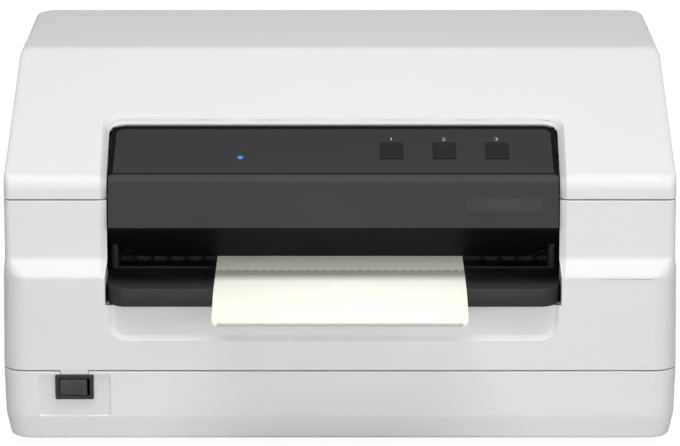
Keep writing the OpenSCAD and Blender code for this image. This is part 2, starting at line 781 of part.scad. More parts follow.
module pulley(x) {
  bar_y(x, belt_y - 0.4, belt_y + belt_w + 0.4, belt_z, pulley_r);
  bar_y(x, belt_y + belt_w + 0.4, belt_y + belt_w + 1.4, belt_z, pulley_r + 1);
  bar_y(x, belt_y - 1.4, belt_y - 0.4, belt_z, pulley_r + 1);
}

module drive_pulley() {
  color("silver") in_place() {
    pulley(lane_x - pulley_x);
    bar_y(lane_x - pulley_x, belt_y, rail_back_y + 10, belt_z, 2.5);
  }
}

module carriage_motor() {
  x = lane_x - pulley_x;
  color([0.25, 0.25, 0.26]) in_place() difference() {
    union() {
      translate([x, rail_back_y + 17, belt_z]) cube([35, 34, 35], center = true);
      bar_y(x, rail_back_y - 1, rail_back_y + 1, belt_z, 11);
    }
    bar_y(x, rail_back_y - 5, rail_back_y + 12, belt_z, 2.5 + running);
  }
}

module idler_pulley() {
  x = lane_x + pulley_x;
  color("silver") in_place() difference() {
    pulley(x);
    bar_y(x, belt_y - 5, rail_back_y, belt_z, 2 + running);
  }
}

module idler_axle() {
  x = lane_x + pulley_x;
  color("gainsboro") in_place() {
    bar_y(x, carriage_back_y + free, belt_y + belt_w + 1.7, belt_z, 2);
    bar_y(x, belt_y + belt_w + 1.7, rail_back_y + 3, belt_z, 2.5);
    bar_y(x, carriage_back_y + free, belt_y - 1.7, belt_z, 3.5);
  }
}

module platen() {
  color("dimgray") in_place() {
    block(lane_x - 130, lane_x + 130, print_y - 6, print_y + 6, paper_z - 10, paper_z - free);
  }
}

// ---------- feed rollers and their gears ----------

module feed_shaft(y) {
  color("gainsboro") in_place() bar_x(left_plate_x - plate_t - 3, gear_x + gear_t + 1, y, feed_axis_z, 4);
}
module front_feed_shaft() feed_shaft(front_roller_y);
module rear_feed_shaft() feed_shaft(rear_roller_y);

module feed_tyres(y) {
  color([0.2, 0.2, 0.2]) in_place() for (k = [-2 : 2]) difference() {
    bar_x(lane_x + k * roller_pitch - 10, lane_x + k * roller_pitch + 10, y, feed_axis_z, feed_r - 0.3);
    bar_x(lane_x + k * roller_pitch - 11, lane_x + k * roller_pitch + 11, y, feed_axis_z, 4);
  }
}
module front_feed_tyres() feed_tyres(front_roller_y);
module rear_feed_tyres() feed_tyres(rear_roller_y);

module press_roller(y) {
  color([0.28, 0.28, 0.28]) in_place() {
    bar_x(left_plate_x - plate_t - 2, right_plate_x + plate_t + 2, y, press_axis_z, 3);
    for (k = [-2 : 2]) bar_x(lane_x + k * roller_pitch - 9, lane_x + k * roller_pitch + 9, y, press_axis_z, press_r);
  }
}
module front_press_roller() press_roller(front_roller_y);
module rear_press_roller() press_roller(rear_roller_y);

// Tooth phases, worked out from the pinion along both lines of centres
pinion_phase = train_a;
rear_idler_phase = mesh_phase(idler_teeth, train_a, pinion_teeth, pinion_phase);
front_idler_phase = mesh_phase(idler_teeth, 180 - train_a, pinion_teeth, pinion_phase);
rear_gear_phase = mesh_phase(roller_teeth, train_a, idler_teeth, rear_idler_phase);
front_gear_phase = mesh_phase(roller_teeth, 180 - train_a, idler_teeth, front_idler_phase);

module front_roller_gear() {
  color("ivory") in_place() gear_x_at(front_roller_y, feed_axis_z, roller_teeth, front_gear_phase, 4);
}

module rear_roller_gear() {
  color("ivory") in_place() gear_x_at(rear_roller_y, feed_axis_z, roller_teeth, rear_gear_phase, 4);
}

module idler_gear(s, phase) {
  color("ivory") in_place() run_x(gear_x, gear_x + gear_t) idler_at(s) difference() {
    gear_outline(idler_teeth, phase);
    circle(3 + running);
  }
}
module front_idler_gear() idler_gear(-1, front_idler_phase);
module rear_idler_gear() idler_gear(1, rear_idler_phase);

module idler_studs() {
  color("silver") in_place() for (s = [-1, 1]) {
    run_x(right_plate_x, gear_x + gear_t + free) idler_at(s) circle(3);
    run_x(right_plate_x + plate_t, gear_x - free) idler_at(s) circle(4.5);
    run_x(gear_x + gear_t + free, gear_x + gear_t + 1.5) idler_at(s) circle(4.5);
  }
}

module feed_pinion() {
  color("goldenrod") in_place() {
    run_x(gear_x, gear_x + gear_t) translate([motor_y, motor_z]) gear_outline(pinion_teeth, pinion_phase);
    bar_x(right_plate_x - 12, gear_x + gear_t, motor_y, motor_z, 2.5);
  }
}

module feed_motor() {
  color([0.25, 0.25, 0.26]) in_place() difference() {
    union() {
      block(right_plate_x - 29, right_plate_x, motor_y - 17.5, motor_y + 17.5, motor_z - 17.5, motor_z + 17.5);
      bar_x(right_plate_x - 1, right_plate_x + 1.5, motor_y, motor_z, 11);
    }
    bar_x(right_plate_x - 14, right_plate_x + 5, motor_y, motor_z, 2.5 + running);
  }
}

// ---------- sheet guides and gate ----------

gate_slots = [-80, -30, 20, 70];

module roller_windows(half, depth) {
  for (y = [front_roller_y, rear_roller_y], k = [-2 : 2]) {
    block(lane_x + k * roller_pitch - half, lane_x + k * roller_pitch + half, y - depth, y + depth, 80, 120);
  }
}

module gate_windows() for (x = gate_slots) block(x - 7, x + 7, gate_y - 1, gate_y + 2.6, 80, 120);

module lower_guide() {
  color([0.16, 0.16, 0.17]) in_place() difference() {
    union() {
      block(left_plate_x, right_plate_x, tray_back_y + 0.5, rear_y - wall - 3, tray_z - 2, tray_z);
      for (y = [tray_back_y + 3, rear_y - wall - 6]) block(left_plate_x, right_plate_x, y - 1, y + 1, tray_z - 8, tray_z);
    }
    roller_windows(11.5, 8.5);
    gate_windows();
    block(lane_x - 132, lane_x + 132, print_y - 8, print_y + 8, 80, 120);
  }
}

module front_upper_guide() {
  color([0.14, 0.14, 0.15]) in_place() {
    run_x(lane_x - 112, lane_x + 112) polygon([
      [44, guide_under_z + 4], [56, guide_under_z], [92, guide_under_z], [92, guide_under_z + guide_t],
      [57, guide_under_z + guide_t], [44.6, guide_under_z + 6]
    ]);
    block(left_plate_x, right_plate_x, frame_front_y + 2, 91, guide_under_z, guide_under_z + guide_t);
    // Ribs on its upturned mouth
    for (k = [-11 : 11]) run_x(lane_x + k * 10 - 0.8, lane_x + k * 10 + 0.8) polygon([
      [43, guide_under_z], [56, guide_under_z], [56, guide_under_z + 1], [44, guide_under_z + 5], [43, guide_under_z + 4]
    ]);
  }
}

module rear_upper_guide() {
  color([0.16, 0.16, 0.17]) in_place() difference() {
    union() {
      block(left_plate_x, right_plate_x, 150, rear_y - wall - 10, guide_under_z, guide_under_z + guide_t);
      run_x(lane_x - 132, lane_x + 132) polygon([
        [150, guide_under_z], [151.5, guide_under_z + guide_t], [142.5, guide_under_z + 5], [141.5, guide_under_z + 3.8]
      ]);
    }
    roller_windows(10.5, 8);
  }
}

module alignment_gate() {
  color("silver") in_place() {
    block(left_plate_x + free, right_plate_x - free, gate_y, gate_y + 1.6, tray_z - 22, tray_z - 8.5);
    for (x = gate_slots) block(x - 5, x + 5, gate_y, gate_y + 1.6, tray_z - 9, guide_under_z - 0.5);
  }
}

// ---------- ribbon ----------

module ribbon_cartridge() {
  color([0.13, 0.13, 0.14]) in_place() difference() {
    union() {
      translate([lane_x, cartridge_y + cartridge_d / 2, plate_top_z]) linear_extrude(cartridge_h) {
        offset(3) square([frame_w - 2, cartridge_d - 6], center = true);
      }
      // Arms that bring the ribbon down to the print line
      for (s = [-1, 1]) {
        x = lane_x + s * arm_x;
        block(x - 4, x + 4, print_y - 9, cartridge_y + 4, plate_top_z, plate_top_z + cartridge_h - 2);
        block(x - 4, x + 4, print_y - 9, print_y + 9, book_top_z + 3, plate_top_z + 1);
      }
    }
    translate([lane_x - 116, cartridge_y + 26, plate_top_z + 8]) cylinder(r = 3 + running, h = cartridge_h);
  }
}

module ink_ribbon() {
  color([0.08, 0.08, 0.1]) in_place() {
    block(lane_x - arm_x - 3, lane_x + arm_x + 3, print_y - ribbon_w / 2, print_y + ribbon_w / 2, book_top_z + 0.9, book_top_z + 1.2);
    for (s = [-1, 1]) {
      x = lane_x + s * (arm_x + 3);
      block(x - 0.15, x + 0.15, print_y - ribbon_w / 2, print_y + ribbon_w / 2, book_top_z + 0.9, book_top_z + 3);
    }
  }
}

module ribbon_knob() {
  color([0.2, 0.2, 0.21]) in_place() translate([lane_x - 116, cartridge_y + 26, 0]) {
    translate([0, 0, plate_top_z + 8.3]) cylinder(r = 3, h = cartridge_h - 7);
    translate([0, 0, plate_top_z + cartridge_h + free]) difference() {
      cylinder(r = 12, h = 6);
      for (a = [0 : 30 : 330]) rotate(a) translate([13, 0, -1]) cylinder(r = 2, h = 8);
    }
  }
}

// ---------- electronics ----------

module main_board() {
  z = board_z + board_t;
  color("seagreen") in_place() {
    difference() {
      block(-36, 138, board_back_y - 116, board_back_y, board_z, z);
      at_board_corners() cylinder(r = 1.6, h = 60);
    }
    block(20, 44, board_back_y - 84, board_back_y - 60, z, z + 2.4);
    block(60, 76, board_back_y - 80, board_back_y - 62, z, z + 2);
    block(-20, 0, board_back_y - 70, board_back_y - 62, z, z + 8);
    for (k = [0 : 3]) translate([96 + 10 * k, board_back_y - 88, z]) cylinder(r = 4, h = 12);
  }
}

module power_board() {
  z = board_z + board_t;
  color("darkkhaki") in_place() {
    difference() {
      block(-143, -48, board_back_y - 116, board_back_y, board_z, z);
      at_board_corners() cylinder(r = 1.6, h = 60);
    }
    block(-100, -64, board_back_y - 76, board_back_y - 44, z, z + 26);
    translate([-122, board_back_y - 60, z]) cylinder(r = 11, h = 28);
    block(-134, -112, board_back_y - 100, board_back_y - 84, z, z + 16);
    block(-98, -94, board_back_y - 108, board_back_y - 84, z, z + 26);
  }
}

module board_screws() {
  color("silver") in_place() at_board_corners() {
    translate([0, 0, board_z - 4]) cylinder(r = 1.25, h = 4 + board_t);
    translate([0, 0, board_z + board_t]) cylinder(r = 2.8, h = 1.8);
  }
}

module inlet_cut() block(inlet_x - 14.2, inlet_x + 14.2, rear_y - 8, body_d + 1, inlet_z - 10.6, inlet_z + 10.6);

module mains_inlet() {
  color([0.1, 0.1, 0.1]) in_place() difference() {
    union() {
      block(inlet_x - 14.2, inlet_x + 14.2, rear_y - 20, rear_y, inlet_z - 10.6, inlet_z + 10.6);
      block(inlet_x - 17, inlet_x + 17, rear_y, rear_y + 1.5, inlet_z - 13, inlet_z + 12.6);
    }
    block(inlet_x - 12, inlet_x + 12, rear_y - 16, body_d, inlet_z - 8.5, inlet_z + 8.5);
  }
  color("silver") in_place() for (p = [[-7, -2], [0, 2], [7, -2]]) {
    block(inlet_x + p[0] - 1, inlet_x + p[0] + 1, rear_y - 17, rear_y - 3, inlet_z + p[1] - 2, inlet_z + p[1] + 2);
  }
}

module port_cuts() for (p = ports) {
  block(p[0] - p[1] / 2 - 0.4, p[0] + p[1] / 2 + 0.4, rear_y - 8, body_d + 1, board_z + board_t, board_z + board_t + p[2] + 0.6);
}

module interface_ports() {
  color("silver") in_place() for (p = ports) {
    z = board_z + board_t;
    difference() {
      block(p[0] - p[1] / 2, p[0] + p[1] / 2, board_back_y - 14, rear_y + 1, z, z + p[2]);
      block(p[0] - p[1] / 2 + 1.2, p[0] + p[1] / 2 - 1.2, board_back_y - 6, rear_y + 2, z + 1.2, z + p[2] - 1.2);
    }
    block(p[0] - p[1] / 2 + 3.5, p[0] + p[1] / 2 - 3.5, board_back_y - 7, rear_y - 1, z + p[2] / 2 - 1.5, z + p[2] / 2 + 1.5);
  }
}

// ---------- the nodes ----------

base_pan();
main_housing();
top_cover();
control_panel();
blank_label();
button_1();
button_2();
button_3();
power_lamp();
panel_lamps();
panel_board();
front_tray();
passbook();
switch_body();
power_rocker();
rubber_feet();
lower_frame();
left_side_plate();
right_side_plate();
guide_shaft();
rear_rail();
carriage();
carriage_bushes();
print_head();
timing_belt();
drive_pulley();
carriage_motor();
idler_pulley();
idler_axle();
platen();
front_feed_shaft();
front_feed_tyres();
rear_feed_shaft();
rear_feed_tyres();
front_press_roller();
rear_press_roller();
shaft_bearings();
front_roller_gear();
rear_roller_gear();
front_idler_gear();
rear_idler_gear();
idler_studs();
feed_pinion();
feed_motor();
lower_guide();
front_upper_guide();
rear_upper_guide();
alignment_gate();
ribbon_cartridge();
ink_ribbon();
ribbon_knob();
main_board();
power_board();
mains_inlet();
interface_ports();
hinge_pins();
casing_screws();
frame_screws();
board_screws();
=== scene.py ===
# %% [markdown]
# # A flatbed printer for passbooks
#
# The machine's mechanism was drawn as exact solids and packed. This script loads those solids as a
# fixed frame, dresses every one of them in a material, and puts finer moulded shells, buttons and
# paper over the ones that show most. Everything is shaped in millimetres measured back from the
# casing's front plane, which is how the machine was drawn, and moved into the shared frame in metres
# only when a piece is finished.

import json
import math

import bmesh
import bpy
from mathutils import Matrix, Vector


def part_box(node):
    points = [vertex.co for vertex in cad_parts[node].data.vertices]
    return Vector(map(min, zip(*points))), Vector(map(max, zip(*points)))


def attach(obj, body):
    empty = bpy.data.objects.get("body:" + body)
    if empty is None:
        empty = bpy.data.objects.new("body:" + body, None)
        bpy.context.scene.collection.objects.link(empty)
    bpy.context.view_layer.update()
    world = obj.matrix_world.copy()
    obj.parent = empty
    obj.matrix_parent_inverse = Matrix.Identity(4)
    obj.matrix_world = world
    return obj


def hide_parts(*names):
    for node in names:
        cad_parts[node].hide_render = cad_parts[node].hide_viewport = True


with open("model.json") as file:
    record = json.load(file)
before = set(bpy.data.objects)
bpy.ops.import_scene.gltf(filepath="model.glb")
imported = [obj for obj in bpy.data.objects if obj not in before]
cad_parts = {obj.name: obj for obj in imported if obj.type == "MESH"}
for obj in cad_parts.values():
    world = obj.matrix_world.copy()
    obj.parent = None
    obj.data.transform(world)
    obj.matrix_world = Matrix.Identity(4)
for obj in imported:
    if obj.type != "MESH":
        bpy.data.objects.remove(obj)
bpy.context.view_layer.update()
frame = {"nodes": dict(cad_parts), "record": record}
scene = bpy.context.scene

# %% [markdown]
# ## Camera
#
# A small object looks this calm and flat only through a long lens from far away. The camera stands
# two metres in front of the casing, a little over 60 cm up, and looks down by about 14 degrees. A
# wide lens close by would show the same box with strongly leaning sides.

# %% Camera
FRONT_PLANE = -0.115  # metres: where the casing's front lies in the shared frame
CAMERA_AWAY, CAMERA_UP, CAMERA_PITCH = 2.0, 0.6252, 13.86  # metres and degrees
FOCAL_PIXELS, PICTURE_PIXELS = 3658.8, 680  # focal length and width of the picture, in its pixels

camera_data = bpy.data.cameras.new("camera")
camera_data.sensor_width = 36.0
camera_data.lens = FOCAL_PIXELS / PICTURE_PIXELS * 36.0
camera = bpy.data.objects.new("camera", camera_data)
camera.location = (0.0, FRONT_PLANE - CAMERA_AWAY, CAMERA_UP)
camera.rotation_euler = (math.radians(90 - CAMERA_PITCH), 0.0, 0.0)
scene.collection.objects.link(camera)
scene.camera = camera
print("lens", round(camera_data.lens, 1), "mm")

# %% [markdown]
# ## Light
#
# The casing is nearly white, so its shape shows only through small steps of grey: the slope is the
# brightest, and the upright front and the flat top are darker. One lamp straight above would light
# only the top, and one in front only the front. Both together meet on the slope, which faces between
# them. Weak lamps at the sides and behind keep the other walls readable.

# %% Lamps
scene.view_settings.view_transform = "Standard"
MIDDLE = Vector((0.0, -0.02, 0.1))
LAMPS = {  # place and size in metres, power in watts
    "front": ((0.0, -1.7, 0.3), (1.2, 0.4), 9.0),
    "overhead": ((0.0, -0.36, 1.3), (1.0, 0.6), 11.8),
    "front_right": ((1.3, -1.4, 0.9), (0.8, 0.8), 5.2),
    "front_left": ((-1.3, -1.4, 0.9), (0.8, 0.8), 1.6),
    "left": ((-1.5, -0.2, 0.5), (0.8, 0.8), 1.2),
    "right": ((1.5, -0.2, 0.5), (0.8, 0.8), 1.2),
    "rear": ((0.0, 1.3, 0.12), (1.2, 0.12), 4.0),
}
for name, (place, size, power) in LAMPS.items():
    data = bpy.data.lights.new(name, "AREA")
    data.shape, data.energy = "RECTANGLE", power
    data.size, data.size_y = size
    lamp = bpy.data.objects.new(name, data)
    lamp.location = place
    lamp.rotation_euler = (MIDDLE - Vector(place)).to_track_quat("-Z", "Y").to_euler()
    scene.collection.objects.link(lamp)
print(len(LAMPS), "lamps of", sum(power for place, size, power in LAMPS.values()), "W in all")

# %% [markdown]
# ## World and floor
#
# The world adds a little plain fill, and shows white where nothing else is seen. The floor is a sheet
# of white card. To the camera it glows just enough to reach white, and its own shading is added on
# top, so that the soft shadow under the machine stays.

# %% Node helpers


def add_node(tree, kind, values=None, **settings):
    """A new shader node, with settings of its own and values on its input sockets."""
    node = tree.nodes.new("ShaderNode" + kind)
    for name, setting in settings.items():
        setattr(node, name, setting)
    for socket, value in (values or {}).items():
        node.inputs[socket].default_value = value
    return node


def wire(tree, *links):
    """Joins sockets; each link is a node, its output, the next node and its input."""
    for source, output, target, socket in links:
        tree.links.new(source.outputs[output], target.inputs[socket])


def seen_apart(tree, lighting, seen, end):
    """Lets one shader light the scene and shows another one to the camera."""
    rays, choose = add_node(tree, "LightPath"), add_node(tree, "MixShader")
    wire(tree, (rays, "Is Camera Ray", choose, "Fac"), (lighting, 0, choose, 1), (seen, 0, choose, 2),
         (choose, 0, add_node(tree, end), "Surface"))


# %% World and floor
WORLD_FILL, FLOOR_HALF, FLOOR_TONE, SHADE_TONE, FLOOR_GLOW = 0.07, 6.0, 0.6, 0.15, 0.94

world = bpy.data.worlds.new("studio")
card = bpy.data.materials.new("white card")
for made in (world, card):
    made.use_nodes = True
    made.node_tree.nodes.clear()
scene.world = world
tree = world.node_tree
fill, white = (add_node(tree, "Background", {"Color": (1.0, 1.0, 1.0, 1.0), "Strength": strength})
               for strength in (WORLD_FILL, 1.0))
seen_apart(tree, fill, white, "OutputWorld")

tree = card.node_tree
shaded, faint = (add_node(tree, "BsdfDiffuse", {"Color": (tone, tone, tone, 1.0)})
                 for tone in (FLOOR_TONE, SHADE_TONE))
glow, both = add_node(tree, "Emission", {"Strength": FLOOR_GLOW}), add_node(tree, "AddShader")
wire(tree, (faint, 0, both, 0), (glow, 0, both, 1))
seen_apart(tree, shaded, both, "OutputMaterial")

sheet = bmesh.new()
bmesh.ops.create_grid(sheet, x_segments=1, y_segments=1, size=FLOOR_HALF)
floor_mesh = bpy.data.meshes.new("floor")
sheet.to_mesh(floor_mesh)
sheet.free()
floor = bpy.data.objects.new("floor", floor_mesh)
scene.collection.objects.link(floor)
floor_mesh.materials.append(card)
print("world", world.name, "and floor", [round(side) for side in floor.dimensions])

# %% [markdown]
# ## Surface effects
#
# Moulded plastic has a fine sandy grain from the mould and is never equally glossy all over, and
# worked metal has fine lines. These effects are wanted in several materials, so each is a node group
# that is built once.

# %% Node groups


def node_group(name, inputs, outputs):
    """An empty shader group with named sockets, and its two end nodes."""
    group = bpy.data.node_groups.new(name, "ShaderNodeTree")
    for label, kind, value in inputs:
        group.interface.new_socket(label, in_out="INPUT", socket_type=kind).default_value = value
    for label, kind in outputs:
        group.interface.new_socket(label, in_out="OUTPUT", socket_type=kind)
    return group, group.nodes.new("NodeGroupInput"), group.nodes.new("NodeGroupOutput")


FLOAT, COLOR, VECTOR = "NodeSocketFloat", "NodeSocketColor", "NodeSocketVector"

grain_group, given, result = node_group(
    "moulded grain", [("Scale", FLOAT, 1800.0), ("Strength", FLOAT, 0.15)], [("Normal", VECTOR)])
place, noise = add_node(grain_group, "TexCoord"), add_node(grain_group, "TexNoise", {"Detail": 3.0})
bump = add_node(grain_group, "Bump", {"Distance": 0.0002})
wire(grain_group, (place, "Object", noise, "Vector"), (given, "Scale", noise, "Scale"),
     (given, "Strength", bump, "Strength"), (noise, "Fac", bump, "Height"),
     (bump, "Normal", result, "Normal"))

patch_group, given, result = node_group(
    "uneven finish",
    [("Scale", FLOAT, 40.0), ("Low", FLOAT, 0.4), ("High", FLOAT, 0.5),
     ("Color", COLOR, (0.8, 0.8, 0.8, 1.0)), ("Other Color", COLOR, (0.7, 0.7, 0.7, 1.0))],
    [("Value", FLOAT), ("Color", COLOR)])
place, noise = add_node(patch_group, "TexCoord"), add_node(patch_group, "TexNoise", {"Detail": 5.0})
spread, blend = add_node(patch_group, "MapRange"), add_node(patch_group, "Mix", data_type="RGBA")
wire(patch_group, (place, "Object", noise, "Vector"), (given, "Scale", noise, "Scale"),
     (noise, "Fac", spread, "Value"), (given, "Low", spread, "To Min"), (given, "High", spread, "To Max"),
     (noise, "Fac", blend, "Factor"), (given, "Color", blend, "A"), (given, "Other Color", blend, "B"),
     (spread, "Result", result, "Value"), (blend, "Result", result, "Color"))

brush_group, given, result = node_group(
    "brushed lines", [("Stretch", VECTOR, (30.0, 900.0, 900.0)), ("Strength", FLOAT, 0.2)],
    [("Normal", VECTOR)])
place, stretch = add_node(brush_group, "TexCoord"), add_node(brush_group, "VectorMath", operation="MULTIPLY")
noise = add_node(brush_group, "TexNoise", {"Scale": 1.0, "Detail": 4.0})
bump = add_node(brush_group, "Bump", {"Distance": 0.0001})
wire(brush_group, (place, "Object", stretch, 0), (given, "Stretch", stretch, 1),
     (stretch, "Vector", noise, "Vector"), (noise, "Fac", bump, "Height"),
     (given, "Strength", bump, "Strength"), (bump, "Normal", result, "Normal"))
print("groups", [group.name for group in bpy.data.node_groups])

# %% [markdown]
# ## Materials
#
# Each finish has one Principled shader. What is the same all over, such as how metallic it is, stands
# on the shader's own sockets, and the groups feed only what changes over the surface.

# %% Material helpers


def bare_material(name, metallic=0.0, coat=0.0, specular=0.5):
    """A material with nothing but its shader; returns it with the shader and its tree."""
    made = bpy.data.materials.new(name)
    made.use_nodes = True
    tree = made.node_tree
    shader = next(node for node in tree.nodes if node.type == "BSDF_PRINCIPLED")
    shader.inputs["Metallic"].default_value = metallic
    shader.inputs["Coat Weight"].default_value = coat
    shader.inputs["Specular IOR Level"].default_value = specular
    return made, shader, tree


def add_group(tree, group, **values):
    """Places a group in a material and sets its inputs; an underscore stands for a space."""
    values = {label.replace("_", " "): value for label, value in values.items()}
    return add_node(tree, "Group", values, node_tree=group)


def patchy(tree, shader, scale, rough, color, other):
    """Gives a shader two close colours in soft patches, and a roughness that changes with them."""
    patches = add_group(tree, patch_group, Scale=scale, Low=rough[0], High=rough[1],
                        Color=(*color, 1.0), Other_Color=(*other, 1.0))
    wire(tree, (patches, "Color", shader, "Base Color"), (patches, "Value", shader, "Roughness"))
    return patches


def plastic(name, color, other, rough, grain, specular=0.5, scale=1800.0):
    """Moulded plastic: patchy, with a fine grain."""
    made, shader, tree = bare_material(name, specular=specular)
    patchy(tree, shader, 18.0, rough, color, other)
    wire(tree, (add_group(tree, grain_group, Scale=scale, Strength=grain), "Normal", shader, "Normal"))
    return made


def metal(name, color, other, rough, stretch, strength=0.15):
    """Metal with the lines that rolling, grinding or turning leaves."""
    made, shader, tree = bare_material(name, metallic=1.0)
    patchy(tree, shader, 60.0, rough, color, other)
    wire(tree, (add_group(tree, brush_group, Stretch=stretch, Strength=strength), "Normal", shader, "Normal"))
    return made


# %% [markdown]
# The casing's plastic is a cool near-white with a satin grain. The dark plastics differ in how much
# they shine: the panel is satin, the tray and the guides are more matt.

# %% Plastics and rubbers
PLASTICS = {  # name, two colours, roughness from and to, depth of the grain, shine, fineness of the grain
    "white_plastic": ("white casing plastic", (0.84, 0.848, 0.852), (0.825, 0.833, 0.838),
                      (0.5, 0.58), 0.12, 0.3),
    # Rougher and grainier than the casing, and a little darker: the grain is the plastic's own, the darker
    # tone is painted shade in the recess under the tray.
    "white_texture": ("textured casing plastic", (0.8, 0.807, 0.81), (0.785, 0.792, 0.795),
                      (0.62, 0.7), 0.25, 0.25),
    "panel_plastic": ("dark panel plastic", (0.043, 0.043, 0.044), (0.039, 0.039, 0.04),
                      (0.5, 0.58), 0.08, 0.2),
    # Near-black, darker than any plastic here: painted shade for the gap round the panel, its groove, its
    # underside and the slot.
    "slot_black": ("black rim and slot plastic", (0.008, 0.008, 0.0085), (0.006, 0.006, 0.0065),
                   (0.5, 0.6), 0.08, 0.06),
    "black_plastic": ("black tray plastic", (0.036, 0.036, 0.037), (0.032, 0.032, 0.033),
                      (0.45, 0.55), 0.2, 0.25, 1400.0),
    "button_plastic": ("button plastic", (0.024, 0.024, 0.025), (0.021, 0.021, 0.022),
                       (0.5, 0.6), 0.1, 0.1),
    "rocker_plastic": ("rocker plastic", (0.06, 0.06, 0.061), (0.055, 0.055, 0.056), (0.4, 0.5), 0.1, 0.3),
    "label_film": ("bare label film", (0.044, 0.044, 0.045), (0.041, 0.041, 0.042), (0.5, 0.6), 0.05, 0.3),
    "foot_rubber": ("foot rubber", (0.05, 0.05, 0.05), (0.035, 0.035, 0.035),
                    (0.75, 0.9), 0.35, 0.3, 900.0),
    "roller_rubber": ("roller rubber", (0.04, 0.04, 0.042), (0.03, 0.03, 0.032),
                      (0.6, 0.75), 0.3, 0.3, 2400.0),
    "gear_plastic": ("gear plastic", (0.76, 0.74, 0.67), (0.7, 0.68, 0.61), (0.35, 0.45), 0.05),
    "grey_lamp": ("unlit lens", (0.05, 0.05, 0.052), (0.04, 0.04, 0.042), (0.4, 0.5), 0.02, 0.3),
    "mark_ink": ("pale printed mark", (0.5, 0.5, 0.51), (0.46, 0.46, 0.47), (0.5, 0.6), 0.05),
}
finishes = {slot: plastic(*look) for slot, look in PLASTICS.items()}

# %% Metals
METALS = {  # name, two colours, roughness from and to, stretch and depth of the lines
    "zinc_steel": ("zinc plated steel", (0.58, 0.6, 0.61), (0.5, 0.52, 0.53),
                   (0.28, 0.42), (900.0, 900.0, 40.0)),
    "ground_steel": ("ground steel", (0.7, 0.7, 0.71), (0.64, 0.64, 0.65),
                     (0.14, 0.24), (1500.0, 120.0, 120.0), 0.08),
    "bronze": ("sintered bronze", (0.5, 0.35, 0.17), (0.42, 0.28, 0.13),
               (0.4, 0.55), (700.0, 700.0, 700.0), 0.25),
    "dark_metal": ("black anodised metal", (0.06, 0.06, 0.065), (0.045, 0.045, 0.05),
                   (0.4, 0.5), (300.0, 300.0, 60.0), 0.1),
    "connector": ("plated connector shell", (0.6, 0.61, 0.62), (0.5, 0.51, 0.52),
                  (0.22, 0.34), (900.0, 60.0, 900.0), 0.1),
}
finishes |= {slot: metal(*look) for slot, look in METALS.items()}
print(len(finishes), "finishes")

# %% [markdown]
# The lit lamp is a clear lens with a light behind it, so it gives off a little blue of its own.

# %% Lit lens
lit, shader, tree = bare_material("lit blue lens", coat=0.5)
lens = patchy(tree, shader, 900.0, (0.1, 0.2), (0.01, 0.1, 0.45), (0.03, 0.2, 0.7))
wire(tree, (lens, "Color", shader, "Emission Color"))
shader.inputs["Emission Strength"].default_value = 0.5
finishes["blue_lamp"] = lit

# %% [markdown]
# Some materials change from place to place. For those, the place on the piece is split into its three
# axes and compared with fixed values, and a flat colour is laid over where the comparison holds.

# %% Colour by place


def object_axes(tree):
    """The node that gives the place on the piece, and one that splits it into X, Y and Z."""
    where, apart = add_node(tree, "TexCoord"), add_node(tree, "SeparateXYZ")
    wire(tree, (where, "Object", apart, "Vector"))
    return where, apart


def math_node(tree, operation, first, second=None):
    node = add_node(tree, "Math", operation=operation)
    for socket, value in zip(node.inputs, (first, second)):
        if isinstance(value, bpy.types.NodeSocket):
            tree.links.new(value, socket)
        elif value is not None:
            socket.default_value = value
    return node.outputs[0]


def laid_over(tree, under, share, color):
    """A flat colour over another one, wherever share is 1."""
    mix = add_node(tree, "Mix", data_type="RGBA")
    mix.inputs["B"].default_value = (*color, 1.0)
    tree.links.new(share, mix.inputs["Factor"])
    tree.links.new(under, mix.inputs["A"])
    return mix.outputs["Result"]


def between(tree, value, low, high):
    """1 where a value lies between two others."""
    return math_node(tree, "MULTIPLY", math_node(tree, "GREATER_THAN", value, low),
                     math_node(tree, "LESS_THAN", value, high))


# %% [markdown]
# Paper is nearly white and slightly warm, with fibres that show as a faint mottle. It also glows faintly
# of its own colour, a painted glow that makes the pages brighter than the lamps alone do. The booklet's
# stitched fold is a row of short dashes, which a repeating step along the fold draws. The ends of the pages
# are painted greyer, as painted shade.

# %% Paper
FOLD, HALF_STITCH = 30.0, 0.0006  # millimetres behind the front plane, and metres
STITCHES_PER_METRE, STITCH_SHARE = 200.0, 0.55
FOLD_AT, PAGE_ENDS = FRONT_PLANE + FOLD / 1000, FRONT_PLANE - 0.04985

paper, shader, tree = bare_material("cream paper", specular=0.2)
fibres = patchy(tree, shader, 260.0, (0.75, 0.9), (0.93, 0.915, 0.82), (0.9, 0.885, 0.785))
tooth = add_group(tree, grain_group, Scale=1200.0, Strength=0.12)
where, apart = object_axes(tree)
on_fold = between(tree, apart.outputs["Y"], FOLD_AT - HALF_STITCH, FOLD_AT + HALF_STITCH)
beat = math_node(tree, "FRACT", math_node(tree, "MULTIPLY", apart.outputs["X"], STITCHES_PER_METRE))
stitch = math_node(tree, "MULTIPLY", on_fold, math_node(tree, "LESS_THAN", beat, STITCH_SHARE))
# Painted shade: the page ends in front of the casing are laid over with a greyer colour.
page_end_shade = math_node(tree, "LESS_THAN", apart.outputs["Y"], PAGE_ENDS)
stitched = laid_over(tree, fibres.outputs["Color"], stitch, (0.3, 0.29, 0.24))
end_shaded = laid_over(tree, stitched, page_end_shade, (0.5, 0.5, 0.42))
for socket in ("Base Color", "Emission Color"):
    tree.links.new(end_shaded, shader.inputs[socket])
# Painted light: the paper glows a little, so that it stays bright also in the shade under the panel.
shader.inputs["Emission Strength"].default_value = 0.2
wire(tree, (tooth, "Normal", shader, "Normal"))
finishes["paper"] = paper

# %% [markdown]
# A circuit board shows its copper tracks as slightly lighter lines under the green. The parts that
# stand on it are dark, so the colour changes where the board's top lies. The boards low in the pan
# are told from the one in the panel by their height.

